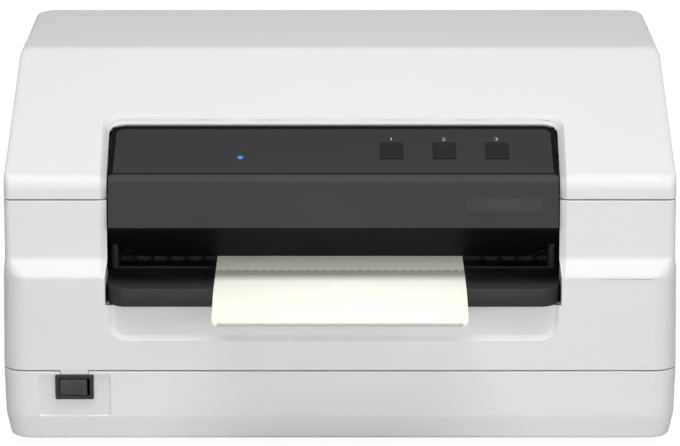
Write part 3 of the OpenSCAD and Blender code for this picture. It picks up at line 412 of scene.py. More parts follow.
# %% Circuit boards
BOARD_TOP, PARTS_TOP = 0.01365, 0.08
board, shader, tree = bare_material("green circuit board", coat=0.3)
tracks = add_node(tree, "TexBrick", {
    "Scale": 160.0, "Color1": (0.02, 0.16, 0.07, 1.0), "Color2": (0.015, 0.13, 0.06, 1.0),
    "Mortar": (0.05, 0.27, 0.13, 1.0), "Mortar Size": 0.012})
gloss = add_group(tree, patch_group, Scale=120.0, Low=0.25, High=0.4)
where, apart = object_axes(tree)
wire(tree, (where, "Object", tracks, "Vector"), (gloss, "Value", shader, "Roughness"))
parts = between(tree, apart.outputs["Z"], BOARD_TOP, PARTS_TOP)
colored = laid_over(tree, tracks.outputs["Color"], parts, (0.03, 0.03, 0.035))
tree.links.new(colored, shader.inputs["Base Color"])
finishes["circuit_board"] = board

# %% [markdown]
# The timing belt has cross ribs and the ink ribbon a fine weave. Both are bands of a wave pattern,
# which is enough at their size.

# %% Belt and ribbon


def banded(name, color, bands, rough, strength):
    """Cloth or rubber with regular ribs across X, and fine ones across Y where wanted."""
    made, shader, tree = bare_material(name, specular=0.3)
    where = add_node(tree, "TexCoord")
    height = None
    for axis, scale in bands:
        wave = add_node(tree, "TexWave", {"Scale": scale}, bands_direction=axis)
        wire(tree, (where, "Object", wave, "Vector"))
        rib = wave.outputs["Fac"]
        height = rib if height is None else math_node(tree, "MAXIMUM", height, rib)
    bump = add_node(tree, "Bump", {"Strength": strength, "Distance": 0.0003})
    patchy(tree, shader, 200.0, rough, color, [c * 0.7 for c in color])
    tree.links.new(height, bump.inputs["Height"])
    wire(tree, (bump, "Normal", shader, "Normal"))
    return made


RIBS, THREADS = 160.0, 700.0
finishes["belt_rubber"] = banded("ribbed belt rubber", (0.02, 0.02, 0.02), [("X", RIBS)], (0.6, 0.75), 0.8)
finishes["ribbon_fabric"] = banded("inked ribbon cloth", (0.012, 0.012, 0.016),
                                   [("X", THREADS), ("Y", THREADS)], (0.7, 0.85), 0.5)

# %% Dress the exact solids
for part in frame["record"]["subparts"]:
    for slot in frame["nodes"][part["node"]].material_slots:
        slot.material = finishes[part["material_slot"]]

# %% [markdown]
# ## Shaping tools
#
# Most of the casing is one idea: a rounded rectangle, seen from above, that changes a little from one
# height to the next. So the main tools are a ring, made from a flat sheet with its corners bevelled,
# and a skin, which bridges one ring to the next.

# %% Rings and skins


def round_off(mesh, parts, size, steps, affect="EDGES"):
    bmesh.ops.bevel(mesh, geom=parts, offset=size, offset_type="OFFSET", segments=steps, profile=0.5,
                    affect=affect, material=-1)


def plan_ring(mesh, x, y, z, front_radius, back_radius=None, steps=10):
    """A closed loop of edges at height z: the rim of a sheet whose corners are bevelled round."""
    known = set(mesh.edges)
    corners = bmesh.ops.create_grid(mesh, x_segments=1, y_segments=1, size=0.5)["verts"]
    bmesh.ops.scale(mesh, vec=(x[1] - x[0], y[1] - y[0], 1), verts=corners)
    middle = Vector(((x[0] + x[1]) / 2, (y[0] + y[1]) / 2, z))
    bmesh.ops.translate(mesh, vec=middle, verts=corners)
    front = [v for v in corners if v.co.y < middle.y]
    back = [v for v in corners if v.co.y > middle.y]
    for pair, radius in ((front, front_radius), (back, back_radius or front_radius)):
        round_off(mesh, pair, radius, steps, "VERTICES")
    ring = [edge for edge in mesh.edges if edge not in known]
    bmesh.ops.delete(mesh, geom=list({f for e in ring for f in e.link_faces}), context="FACES_ONLY")
    return ring


def skin(mesh, rings, first=True, last=True):
    """Bridges each ring to the next, and closes the first and the last unless told not to."""
    for one, other in zip(rings, rings[1:]):
        bmesh.ops.bridge_loops(mesh, edges=one + other)
    if first:
        bmesh.ops.edgeloop_fill(mesh, edges=rings[0])
    if last:
        bmesh.ops.edgeloop_fill(mesh, edges=rings[-1])
    bmesh.ops.recalc_face_normals(mesh, faces=mesh.faces)


def add_stack(mesh, x, y, levels, radius, back_radius=None, steps=10):
    """A solid of rings, one at each (height, inset) level; an inset takes as much off the front corners."""
    skin(mesh, [plan_ring(mesh, (x[0] + inset, x[1] - inset), (y[0] + inset, y[1] - inset), height,
                          radius - inset, back_radius, steps) for height, inset in levels])


# %% [markdown]
# Smaller features are blocks, bars, posts and plates. A flat stack of rings can be stood up so that it
# faces the front, and a mesh can be sliced finely where it will be bent.

# %% Blocks, bars and plates


def add_block(mesh, x, y, z, edge=0.0, steps=3):
    """A box between two values on each axis, with its edges rounded off."""
    corners = bmesh.ops.create_cube(mesh, size=1.0)["verts"]
    bmesh.ops.scale(mesh, vec=(x[1] - x[0], y[1] - y[0], z[1] - z[0]), verts=corners)
    bmesh.ops.translate(mesh, vec=((x[0] + x[1]) / 2, (y[0] + y[1]) / 2, (z[0] + z[1]) / 2), verts=corners)
    if edge:
        round_off(mesh, list({e for v in corners for e in v.link_edges}), edge, steps)


def add_post(mesh, place, depth, radius, top=None, caps=True, segments=32):
    """A round post, upright at its middle or laid by a matrix; top is its radius at the other end."""
    turn = place if isinstance(place, Matrix) else Matrix.Translation(place)
    bmesh.ops.create_cone(mesh, cap_ends=caps, segments=segments, radius1=radius, radius2=top or radius,
                          depth=depth, matrix=turn)


def add_bar(mesh, x, y, z, radius):
    """A round bar along X."""
    turn = Matrix.Translation(((x[0] + x[1]) / 2, y, z)) @ Matrix.Rotation(math.pi / 2, 4, "Y")
    add_post(mesh, turn, x[1] - x[0], radius)


def pulled_out(mesh, faces, vec=(0, 0, 0)):
    """Extrudes faces by a vector and returns their new corners."""
    grown = bmesh.ops.extrude_face_region(mesh, geom=faces)["geom"]
    moved = [v for v in grown if isinstance(v, bmesh.types.BMVert)]
    bmesh.ops.translate(mesh, vec=vec, verts=moved)
    return moved


def add_plate(mesh, outline, x, edge=0.0):
    """A flat plate across X from an outline of (back, height) points."""
    face = mesh.faces.new([mesh.verts.new((x[0], y, z)) for y, z in outline])
    moved = pulled_out(mesh, [face], (x[1] - x[0], 0, 0))
    part = list({f for v in moved for f in v.link_faces} | {face})
    bmesh.ops.recalc_face_normals(mesh, faces=part)
    if edge:
        round_off(mesh, list({e for f in part for e in f.edges}), edge, 2)


def stand_up(mesh):
    """Turns a flat stack so that its Y points up and its Z out of the front."""
    bmesh.ops.rotate(mesh, cent=(0, 0, 0), matrix=Matrix.Rotation(math.pi / 2, 3, "X"), verts=mesh.verts)


def slice_across(mesh, places):
    """Cuts through a mesh at places along Y, and takes nothing away."""
    for place in places:
        everything = mesh.verts[:] + mesh.edges[:] + mesh.faces[:]
        bmesh.ops.bisect_plane(mesh, geom=everything, dist=0.0005, plane_co=(0, place, 0), plane_no=(0, 1, 0))


# %% [markdown]
# A finished piece is scaled to metres and moved so that its object can stay at the origin. Its edges
# are marked sharp where two faces meet at more than a given angle, so that broad faces stay flat and
# rounded ones stay smooth.

# %% Cutting and finishing a piece


def as_object(mesh, name):
    data = bpy.data.meshes.new(name)
    mesh.to_mesh(data)
    mesh.free()
    made = bpy.data.objects.new(name, data)
    scene.collection.objects.link(made)
    return made


def opened(*pieces):
    """One mesh to work on with all that the pieces hold; the pieces themselves go."""
    mesh = bmesh.new()
    for piece in pieces:
        mesh.from_mesh(piece.data)
        bpy.data.meshes.remove(piece.data)
    return mesh


def with_modifiers(piece):
    """Replaces a piece's mesh by what its modifiers make of it."""
    made = bpy.data.meshes.new_from_object(piece.evaluated_get(bpy.context.evaluated_depsgraph_get()))
    piece.modifiers.clear()
    piece.data, old = made, piece.data
    bpy.data.meshes.remove(old)


def cut_away(piece, tool_mesh):
    """Takes a closed shape out of a piece."""
    bmesh.ops.recalc_face_normals(tool_mesh, faces=tool_mesh.faces)
    tool = as_object(tool_mesh, "cutter")
    cutting = piece.modifiers.new("cut", "BOOLEAN")
    cutting.operation, cutting.solver, cutting.object = "DIFFERENCE", "EXACT", tool
    with_modifiers(piece)
    bpy.data.meshes.remove(tool.data)


def settle(mesh, name, slot, body, stands_for=(), sharp=30.0, flat=False, looks=()):
    """Brings a mesh into the shared frame and makes it a finished piece that rides on a body."""
    bmesh.ops.remove_doubles(mesh, verts=mesh.verts, dist=0.0005)
    bmesh.ops.scale(mesh, vec=(0.001, 0.001, 0.001), verts=mesh.verts)
    bmesh.ops.translate(mesh, vec=(0, FRONT_PLANE, 0), verts=mesh.verts)
    piece = as_object(mesh, name)
    piece.data.shade_smooth()
    piece.data.set_sharp_from_angle(angle=math.radians(sharp))
    for look in looks or (slot,):
        piece.data.materials.append(finishes[look])
    if flat:
        weigh = piece.modifiers.new("flat faces", "WEIGHTED_NORMAL")
        weigh.keep_sharp = True
    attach(piece, body)
    if stands_for:
        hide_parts(*stands_for)
    print(name, len(piece.data.polygons), "faces")


# %% [markdown]
# ## The casing's side line
#
# Seen from the side, the front rises from the pan, steps back over a ledge, goes up again, bends into
# the long slope and ends in a crease at the top. The line is given by its corners, each with its own
# radius, and the corners are then rounded.

# %% Side line


def rounded_line(corners, steps=8):
    """(back, height, radius) corners to a list of (back, height) points with arcs at the corners."""
    points = [Vector(corners[0][:2])]
    for before, (y, z, radius), after in zip(corners, corners[1:], corners[2:]):
        corner = Vector((y, z))
        to_before = (Vector(before[:2]) - corner).normalized()
        to_after = (Vector(after[:2]) - corner).normalized()
        half = to_before.angle(to_after) / 2
        centre = corner + (to_before + to_after).normalized() * radius / math.sin(half)
        first = corner + to_before * radius / math.tan(half) - centre
        last = corner + to_after * radius / math.tan(half) - centre
        points += [centre + first.slerp(last, k / steps) * radius for k in range(steps + 1)]
    points.append(Vector(corners[-1][:2]))
    return points


BODY_HALF, BODY_TOP, BODY_REAR = 192.0, 203.0, 276.0
SEAM, PARTING, SPLIT = 45.0, 143.0, 0.3  # heights of the two joints, and half the gap in each
SLOPE_FOOT, CREASE = Vector((8.6, 155.0)), Vector((150.0, 203.0))
side_line = rounded_line([(8, 4, 0), (3, 4, 3), (0, 18, 16), (0, 100, 3.5), (7.2, 109, 4.5),
                          (*SLOPE_FOOT, 9), (*CREASE, 22), (176, BODY_TOP, 0)])
SLOPE_ANGLE = math.atan2(CREASE.y - SLOPE_FOOT.y, CREASE.x - SLOPE_FOOT.x)
print("slope", round(math.degrees(SLOPE_ANGLE), 2), "degrees,", len(side_line), "points")


def back_at(height):
    """How far the front face lies behind the front plane at a height."""
    for one, other in zip(side_line, side_line[1:]):
        if one.y <= height <= other.y and other.y > one.y:
            return one.x + (other.x - one.x) * (height - one.y) / (other.y - one.y)
    return side_line[0].x


def on_slope_point(up, out=0.0):
    """Back and height of a place on the cover's slope."""
    return (SLOPE_FOOT.x + up * math.cos(SLOPE_ANGLE) - out * math.sin(SLOPE_ANGLE),
            SLOPE_FOOT.y + up * math.sin(SLOPE_ANGLE) + out * math.cos(SLOPE_ANGLE))


# %% [markdown]
# ## The three shells
#
# Base pan, housing and top cover are separate mouldings. Each is a stack of rings. The front corners
# are broad below the ledge and tight above it, so the ledge widens into a crescent at both ends. The
# pan draws in towards the table, the sides lean in a little as they rise, and the cover has a small
# rounded shoulder along its sides and back. A Solidify modifier then gives the skin its wall.

# %% Rings of the casing
SHOULDER, BROAD_CORNER, TIGHT_CORNER, REAR_CORNER = 4.0, 14.0, 4.2, 13.0
LEAST_FRONT, LEAST_REAR = 3.0, 4.5  # corner radii that nothing makes smaller
FOOT_TOP, FOOT_IN = 30, 0.8  # the rounded foot ends at this height; the pan draws in this much more
LEANS = ((0.9, 47, 101), (1.0, 101, 109), (-0.7, 170, 198))  # each from one height to another
LEDGE_LOW, LEDGE_HIGH = 100, 109


def share_of(value, low, high):
    """How far a value has got from low to high, between 0 and 1."""
    return min(max((value - low) / (high - low), 0.0), 1.0)


def casing_ring(mesh, back, height):
    """The casing's outline at one height."""
    drawn_in = (back if height < FOOT_TOP else 0.0) + FOOT_IN * (1 - share_of(height, 18, SEAM))
    rise = max(height - (BODY_TOP - SHOULDER), 0.0)
    shoulder = SHOULDER - math.sqrt(max(SHOULDER ** 2 - rise ** 2, 0.0))
    half = BODY_HALF - drawn_in - shoulder - sum(lean * share_of(height, *span) for lean, *span in LEANS)
    front = BROAD_CORNER + (TIGHT_CORNER - BROAD_CORNER) * share_of(height, LEDGE_LOW, LEDGE_HIGH)
    return plan_ring(mesh, (-half, half), (back, BODY_REAR - drawn_in - shoulder), height,
                     max(front - min(drawn_in, 3.0) - shoulder, LEAST_FRONT),
                     max(REAR_CORNER - drawn_in - shoulder, LEAST_REAR))


def shell_stations(low, high, more=()):
    """(back, height) of each ring between two heights."""
    heights = [(p.x, p.y) for p in side_line if low < p.y < high]
    heights += [(back_at(z), z) for z in (low, high, *more)]
    return sorted(set(heights), key=lambda station: station[1])


def walled(mesh, name, wall, rims):
    """Gives a skin its wall and rounds both edges of its rims."""
    shell = as_object(mesh, name)
    thicken = shell.modifiers.new("wall", "SOLIDIFY")
    thicken.thickness, thicken.offset, thicken.use_even_offset = wall, -1.0, True
    with_modifiers(shell)
    mesh = bmesh.new()
    mesh.from_mesh(shell.data)
    for height in rims:
        edges = [e for e in mesh.edges
                 if all(abs(v.co.z - height) < 0.3 for v in e.verts)
                 and sum(abs(f.normal.z) > 0.7 for f in e.link_faces) == 1]
        round_off(mesh, edges, 0.6, 3)
    mesh.to_mesh(shell.data)
    mesh.free()
    return shell


# %% [markdown]
# ## Working on the front as if it were flat
#
# The bright frame round the panel runs over the slope, down the front and over the ledge. It is much
# easier to draw it flat, as a rounded sheet with sloping sides, slice it finely and then bend it over
# the side line. "Along" is then the length along the side line, and "out" the height over it.

# %% Bending a flat shape over a line


def lengths_of(line):
    total, lengths = 0.0, [0.0]
    for one, other in zip(line, line[1:]):
        total += (other - one).length
        lengths.append(total)
    return lengths


def along_at(line, back=None, height=None):
    """Length along a line at which it reaches a distance back or a height."""
    lengths = lengths_of(line)
    axis, wanted = (0, back) if height is None else (1, height)
    for k, (one, other) in enumerate(zip(line, line[1:])):
        if one[axis] <= wanted <= other[axis] and other[axis] > one[axis]:
            share = (wanted - one[axis]) / (other[axis] - one[axis])
            return lengths[k] + share * (lengths[k + 1] - lengths[k])
    return lengths[-1]


def bend_over(mesh, line):
    """Slices a flat mesh (x, along, out) at the line's points and lays it over the line."""
    lengths = lengths_of(line)
    slice_across(mesh, lengths[1:-1])
    headings = [(other - one).normalized() for one, other in zip(line, line[1:])]
    for vert in mesh.verts:
        x, along, out = vert.co
        k = max(i for i in range(len(headings)) if i == 0 or lengths[i] <= along + 0.001)
        heading = headings[k]
        if k > 0 and abs(along - lengths[k]) < 0.002:
            heading = (headings[k - 1] + headings[k]).normalized()
        spot = line[k] + headings[k] * (along - lengths[k])
        vert.co = (x, spot.x - heading.y * out, spot.y + heading.x * out)


# %% [markdown]
# ## The opening in the front
#
# Both shells are cut by the same kind of tool. Its sides lean outwards, which leaves a bright frame
# round the dark panel. The opening widens a little up the slope, and beside the tray the frame runs
# out to nothing.

# %% Front cutter
LANE = -3.8  # middle of the opening, panel and tray
PANEL_HALF = 127.7
INNER = (LANE - PANEL_HALF - 0.5, LANE + PANEL_HALF + 0.5)
FLARE, FLARE_FROM, FLARE_TO = 1.3, 12.0, 55.0  # how much wider it gets between two distances back
FRAME_SIDE, FRAME_TOP = 3.6, 71.2
TRAY_TOP, TRAY_BOTTOM = 93.7, 83.0


def cutter_ring(mesh, depth, foot, run_out, share, out):
    """One level of the tool: share 0 is its floor, share 1 the casing's surface."""
    low = along_at(side_line, height=foot + (run_out - foot) * min(share, 1.25))
    top = along_at(side_line, back=on_slope_point(FRAME_TOP)[0]) - depth * (1 - share)
    side = FRAME_SIDE * share
    return plan_ring(mesh, (INNER[0] - side, INNER[1] + side), (low, top), out, 10.0 + 4.0 * share,
                     9.0 + 2.5 * share, steps=8)


def front_cutter(depth, foot, run_out, reach=0.0):
    """A tool as deep as depth at foot that runs out to nothing at run_out; reach cuts right through."""
    mesh = bmesh.new()
    levels = [(0.0, -reach)] if reach > depth else []
    levels += [(share, depth * (share - 1)) for share in (0.0, 0.25, 0.5, 0.75, 1.0, 1.25, 2.2)]
    skin(mesh, [cutter_ring(mesh, depth, foot, run_out, *level) for level in levels])
    bend_over(mesh, side_line)
    for vert in mesh.verts:
        vert.co.x += math.copysign(FLARE * share_of(vert.co.y, FLARE_FROM, FLARE_TO), vert.co.x - LANE)
    return mesh


# %% [markdown]
# ## Base pan
#
# The pan holds the power switch in a shallow field at the left, with a fine groove round its floor.

# %% Base pan
PAN_WALL, REAR_WALL = 2.5, (268, 282)  # REAR_WALL reaches from inside the rear wall to behind it
pan_mesh = bmesh.new()
foot = [(p.x, p.y) for p in side_line if p.y < 5.0]
stations = foot + [s for s in shell_stations(5.0, SEAM - SPLIT) if s[1] > foot[-1][1]]
skin(pan_mesh, [casing_ring(pan_mesh, *s) for s in stations], last=False)
pan = walled(pan_mesh, "pan_shell", PAN_WALL, [SEAM - SPLIT])

# %% Field round the switch
SWITCH_X, SWITCH_Z = -151.1, 35.6
FIELD_HALF, FIELD_LOW, FIELD_HIGH, FIELD_CORNER = 20.0, 18.9, 42.4, 2.0


def field_tool(levels, hollow=False):
    """A tool of outlines round the field, each (out, wider); a hollow one is closed to a ring."""
    mesh = bmesh.new()
    rings = [plan_ring(mesh, (SWITCH_X - FIELD_HALF - wider, SWITCH_X + FIELD_HALF + wider),
                       (FIELD_LOW - wider, FIELD_HIGH + wider), out, FIELD_CORNER, steps=5)
             for out, wider in levels]
    skin(mesh, rings + rings[:1] if hollow else rings, first=not hollow, last=not hollow)
    stand_up(mesh)
    return mesh


cut_away(pan, field_tool(((-1.0, 0.2), (0.2, 0.7), (3.0, 0.7))))
cut_away(pan, field_tool(((-0.8, -0.7), (-1.8, -0.7), (-1.8, 0.0), (-0.8, 0.0)), hollow=True))
print("pan", len(pan.data.polygons), "faces after its field")

# %% [markdown]
# The sockets are at the back, and vent slots lie low in both sides. Four bosses take the casing's
# screws from below, and a notch in the rim takes the housing's tab over the switch.

# %% Holes and bosses of the pan
BOSSES = [(side * (BODY_HALF - 16), y) for side in (-1, 1) for y in (24, BODY_REAR - 24)]
SOCKET_FOOT, SOCKETS = 14.2, ((8, 66, 13), (62, 13, 11.5), (108, 54, 12))  # middle, width and height
VENT_WIDE, VENT_PITCH = 5, 12


def side_vents(mesh, side, first, count, z):
    """Upright slots through a side wall, from the first one's near edge backwards."""
    x = side * BODY_HALF
    for near in (first + VENT_PITCH * k for k in range(count)):
        add_block(mesh, (x - 6, x + 6), (near, near + VENT_WIDE), z, 1.5)


holes = bmesh.new()
add_block(holes, (SWITCH_X - 9.3, SWITCH_X + 9.3), (-2, 6), (SWITCH_Z - 6, SWITCH_Z + 6))
for side in (-1, 1):
    side_vents(holes, side, 107.5, 10, (24, 38))
add_block(holes, (-126.2, -97.8), REAR_WALL, (15.4, 36.6))
for middle, width, tall in SOCKETS:
    add_block(holes, (middle - width / 2 - 0.4, middle + width / 2 + 0.4), REAR_WALL,
              (SOCKET_FOOT - 0.6, SOCKET_FOOT + tall))
for x, y in BOSSES:
    add_post(holes, (x, y, 4), 10, 4.5)
cut_away(pan, holes)
notch = bmesh.new()
add_block(notch, (SWITCH_X - 8.2, SWITCH_X + 8.2), (-2, 5), (SEAM - 2.4, SEAM + 1))
cut_away(pan, notch)

pan_mesh = opened(pan)
for face in pan_mesh.faces:
    spot = face.calc_center_median()
    in_field = abs(spot.x - SWITCH_X) < FIELD_HALF and 19 < spot.z < SEAM and 0.5 < spot.y < 1.5
    face.material_index = int(in_field and face.normal.y < -0.9)
for x, y in BOSSES:
    add_post(pan_mesh, (x, y, 25), 38, 6.5, caps=False)
settle(pan_mesh, "base_pan_shell", "white_plastic", "root", ["base_pan"], flat=True,
       looks=("white_plastic", "white_texture"))

# %% [markdown]
# ## Housing
#
# The middle moulding carries the ledge and the front opening. Its wall is thicker under the tray,
# where it has a recess with rounded lower corners.

# %% Housing
HOUSE_WALL = 3.4
RECESS_HALF, RECESS_LOW, RECESS_CORNER, RECESS_DRAFT = 127.8, 62.8, 11.0, 0.01
house_mesh = bmesh.new()
stations = shell_stations(SEAM + SPLIT, PARTING - SPLIT)
skin(house_mesh, [casing_ring(house_mesh, *s) for s in stations], first=False, last=False)
house = walled(house_mesh, "house_shell", HOUSE_WALL, [SEAM + SPLIT, PARTING - SPLIT])
cut_away(house, front_cutter(2.4, 98.0, 88.0))


def recess_tool():
    """Rounded outlines from the recess's floor to before the casing, each (out, inset)."""
    mesh = bmesh.new()
    skin(mesh, [plan_ring(mesh, (LANE - RECESS_HALF + e, LANE + RECESS_HALF - e),
                          (RECESS_LOW + 1.2 * e, 88.0), out, RECESS_CORNER - e, 0.5, steps=8)
                for out, e in ((-2.9, 2.3), (-2.4, 1.7), (-1.2, 0.8), (0.25, -0.1), (2.0, -0.1))])
    stand_up(mesh)
    for vert in mesh.verts:
        if vert.co.y > 2.2:
            vert.co.y += RECESS_DRAFT * max(84.0 - vert.co.z, 0.0)
    return mesh


pad_mesh = bmesh.new()
add_block(pad_mesh, (INNER[0] - 4, INNER[1] + 4), (3.1, 6.4), (RECESS_LOW - 5, TRAY_BOTTOM - 0.1))
pad = as_object(pad_mesh, "pad")
for piece in (house, pad):
    before = len(piece.data.polygons)
    cut_away(piece, recess_tool())
    print(piece.name, before, "faces, with its recess", len(piece.data.polygons))

# %% [markdown]
# Behind the frame the wall is cut right through for the tray, the slot and the panel. The back has the
# sheet's rear slot with a row of vents under it, and the right side has a row of vents. The cover's
# hinge knuckles pass through notches in the rear rim.

# %% Holes in the housing
OPENING = INNER[1] - LANE + 1.1
KNUCKLE, HINGE_X, HINGE_Y, KNUCKLE_RADIUS = 8.0, 120.0, 277.5, 2.5
holes = bmesh.new()
skin(holes, [plan_ring(holes, (LANE - OPENING + e, LANE + OPENING - e), (-12, 62), z, 0.5, steps=2)
             for z, e in ((TRAY_BOTTOM, 0), (99.5, 0), (107.5, 1.1), (160, 1.1))])
add_block(holes, (LANE - 135, LANE + 135), REAR_WALL, (88, 106), 1.2)
for middle in range(-8 * 14, 9 * 14, 14):
    add_block(holes, (middle - 2.5, middle + 2.5), REAR_WALL, (61, 77), 1.5)
side_vents(holes, 1, 127.5, 8, (65, 87))
for side in (-1, 1):
    add_block(holes, (side * HINGE_X - 4.2, side * HINGE_X + 4.2), (271, 281), (140, 145))
cut_away(house, holes)

# %% [markdown]
# Inside, the housing has a shelf under the tray, cheeks beside it, the tab over the power switch,
# bosses with their ribs and lips that keep the cover's side walls in line. Its hinge knuckles stand
# on both sides of the cover's.

# %% Inside of the housing


def add_knuckle(mesh, x, half, z):
    """A hinge knuckle, and the web that carries it between two heights."""
    add_bar(mesh, (x - half, x + half), HINGE_Y, PARTING, KNUCKLE_RADIUS)
    add_block(mesh, (x - half, x + half), (274.5, HINGE_Y), z, 0.3)


house_mesh = opened(house, pad)
# The recess floor takes the darker textured plastic, whose darker tone is painted shade under the tray.
for face in house_mesh.faces:
    spot = face.calc_center_median()
    painted_shade_recess = (abs(spot.x - LANE) < RECESS_HALF - 1.5 and RECESS_LOW + 2 < spot.z < TRAY_BOTTOM
                 and 2.4 < spot.y < 4.5)
    face.material_index = int(painted_shade_recess and face.normal.y < -0.9)
shelf = (80.9, TRAY_BOTTOM - 0.1)
add_block(house_mesh, (LANE - OPENING + 0.2, LANE + OPENING - 0.2), (3.2, 24), shelf, 0.3)
add_block(house_mesh, (SWITCH_X - 7.9, SWITCH_X + 7.9), (0.2, 2.5), (SEAM - 2.1, SEAM + 1.2), 0.3)
for x, y in BOSSES:
    add_post(house_mesh, (x, y, SEAM + 13.3), 26, 5.5, 5.2)
    rib = sorted(math.copysign(BODY_HALF - inset, x) for inset in (20, 2))
    add_block(house_mesh, rib, (y - 1.2, y + 1.2), (SEAM + 0.3, SEAM + 20), 0.3)
for side in (-1, 1):
    cheek = sorted(LANE + side * (OPENING + out) for out in (0.05, 1.8))
    add_block(house_mesh, cheek, (3.1, 30), (shelf[0], 99.0), 0.2)
    lip = sorted(side * (BODY_HALF - inset) for inset in (4.4, 2.8))
    add_block(house_mesh, lip, (40, 240), (PARTING - 8, PARTING + 5), 0.4)
    for step in (-1, 1):
        add_knuckle(house_mesh, side * HINGE_X + step * KNUCKLE, 4, (PARTING - 4, PARTING))
settle(house_mesh, "housing_shell", "white_plastic", "root", ["main_housing"], flat=True,
       looks=("white_plastic", "white_texture"))

# %% [markdown]
# ## Top cover
#
# The cover is the biggest bright surface, so its skin needs few, clean faces: the slope and the top
# are flat, and only the bend, the crease and the shoulders are finely divided. The frame is deeper
# than the wall, so a collar under the skin carries it.

# %% Top cover
COVER_WALL, COVER_CUT = 2.5, (4.2, 130.0, 125.0, 8.0)
cover_mesh = bmesh.new()
shoulders = [BODY_TOP - SHOULDER + SHOULDER * math.sin(math.radians(t)) for t in (0, 18, 36, 54, 68, 80)]
stations = shell_stations(PARTING + SPLIT, BODY_TOP, [165, 175, 185, *shoulders])
skin(cover_mesh, [casing_ring(cover_mesh, *s) for s in stations], first=False)
cover = walled(cover_mesh, "cover_shell", COVER_WALL, [PARTING + SPLIT])
cut_away(cover, front_cutter(*COVER_CUT))
holes = bmesh.new()
for side in (-1, 1):
    for step in (-1, 1):
        x = side * HINGE_X + step * KNUCKLE
        add_block(holes, (x - 4.3, x + 4.3), (271, 281), (141, 146))
cut_away(cover, holes)

collar_mesh = bmesh.new()
margin = FRAME_SIDE + 1.5
reach = (along_at(side_line, height=PARTING + SPLIT),
         along_at(side_line, back=on_slope_point(FRAME_TOP + 1.5)[0]))
add_stack(collar_mesh, (INNER[0] - margin, INNER[1] + margin), reach, ((-5.4, 0), (-2.2, 0)), 1.0, 13.0)
bend_over(collar_mesh, side_line)
collar = as_object(collar_mesh, "collar")
cut_away(collar, front_cutter(*COVER_CUT))

# %% Ribs and knuckles of the cover
cover_mesh = opened(cover, collar)
for x in (-110, -37, 37, 110):
    add_plate(cover_mesh, [(90, 180.3), (150.3, 200.8), (273.8, 200.8), (273.8, 163), (268.5, 163),
                           (268.5, 195.5), (152, 195.5), (90, 174.8)], (x - 1, x + 1))
for side in (-1, 1):
    add_knuckle(cover_mesh, side * HINGE_X, 3.7, (PARTING, PARTING + 4))
settle(cover_mesh, "top_cover_shell", "white_plastic", "cover", ["top_cover"], flat=True)

# %% [markdown]
# ## Control panel
#
# The dark panel is drawn flat as well: a rounded plate with a sunken rim at its sides and top,
# bent once where the slope turns down into the lower face. Where the bend starts runs a fine groove. The rim
# and the groove's floor are near-black, as painted shade.

# %% Panel plate
LIP, SLOT_BACK = (6.4, 127.0), (40.3, 102.2)
panel_line = rounded_line([(*LIP, 0), (*on_slope_point(1.5, -0.8), 11.0),
                           (*on_slope_point(60.3, -0.8), 0)], steps=10)
panel_length = lengths_of(panel_line)[-1]
GROOVE, GROOVE_DEEP = along_at(panel_line, back=16.4), 0.5
PANEL_LEVELS = (  # out, then how far the sides, the top and the foot stand in, and the corners' radius
    (-4.9, 0.0, -6.2, 0.0, 8.6), (-1.0, 0.0, 0.0, 0.0, 8.6), (-0.75, 0.2, 0.25, 0.0, 8.4),
    (-0.65, 2.4, 3.7, 0.0, 5.8), (-0.1, 2.8, 4.2, 0.2, 5.4), (0.0, 3.2, 4.6, 0.8, 5.0))
panel_mesh = bmesh.new()
skin(panel_mesh, [plan_ring(panel_mesh, (LANE - PANEL_HALF + side, LANE + PANEL_HALF - side),
                            (low, panel_length - top), out, 0.4, radius, steps=8)
                  for out, side, top, low, radius in PANEL_LEVELS])
slice_across(panel_mesh, [GROOVE + step for step in (-2.6, -1.2, -0.7, 0.7, 1.2)])
for vert in panel_mesh.verts:
    inset = PANEL_HALF - abs(vert.co.x - LANE)
    if 0.3 < inset < 3.3:
        # Below the groove the rim at the sides is hardly there
        less = 0.85 * inset * share_of(GROOVE - vert.co.y, 1.0, 2.4)
        vert.co.x += math.copysign(less, vert.co.x - LANE)
    if vert.co.z > -0.5 and abs(vert.co.y - GROOVE) < 1.0:
        vert.co.z -= GROOVE_DEEP
# Painted shade: the sunken rim and the groove's floor take the near-black slot plastic.
for face in panel_mesh.faces:
    face.material_index = int(face.calc_center_median().z < -0.34)
bend_over(panel_mesh, panel_line)
plate = set(panel_mesh.faces)

# %% [markdown]
# The underside hangs over the slot like an eave, and its ends are cut off slantwise. It has a cheek at
# each end, and pads at the top carry the panel on the cover.

# %% Underside, cheeks and pads
UNDER_FRONT, UNDER_CUT, UNDER_THICK = 6.9, 18.0, 2.2
left, right, cut_back = LANE - PANEL_HALF, LANE + PANEL_HALF, SLOT_BACK[0] - UNDER_CUT
outline = [(left, UNDER_FRONT), (right, UNDER_FRONT), (right, cut_back), (right - UNDER_CUT, SLOT_BACK[0]),
           (left + UNDER_CUT, SLOT_BACK[0]), (left, cut_back)]
fall = (SLOT_BACK[1] - LIP[1]) / (SLOT_BACK[0] - LIP[0])
corners = [panel_mesh.verts.new((x, y, LIP[1] + (y - LIP[0]) * fall)) for x, y in outline]
under = panel_mesh.faces.new(corners)
raised = pulled_out(panel_mesh, [under], (0, 0, UNDER_THICK))
bmesh.ops.recalc_face_normals(panel_mesh, faces=list({f for v in raised for f in v.link_faces} | {under}))
cheek = [on_slope_point(60.0, -2.0), on_slope_point(2.5, -5.0), (LIP[0] + 1.5, LIP[1] + 1.5),
         (26, 113), (66, 113)]
for x in (left + 0.1, right - 2.6):
    add_plate(panel_mesh, cheek, (x, x + 2.5))
pad_y, pad_z = on_slope_point(61.0, -6.5)
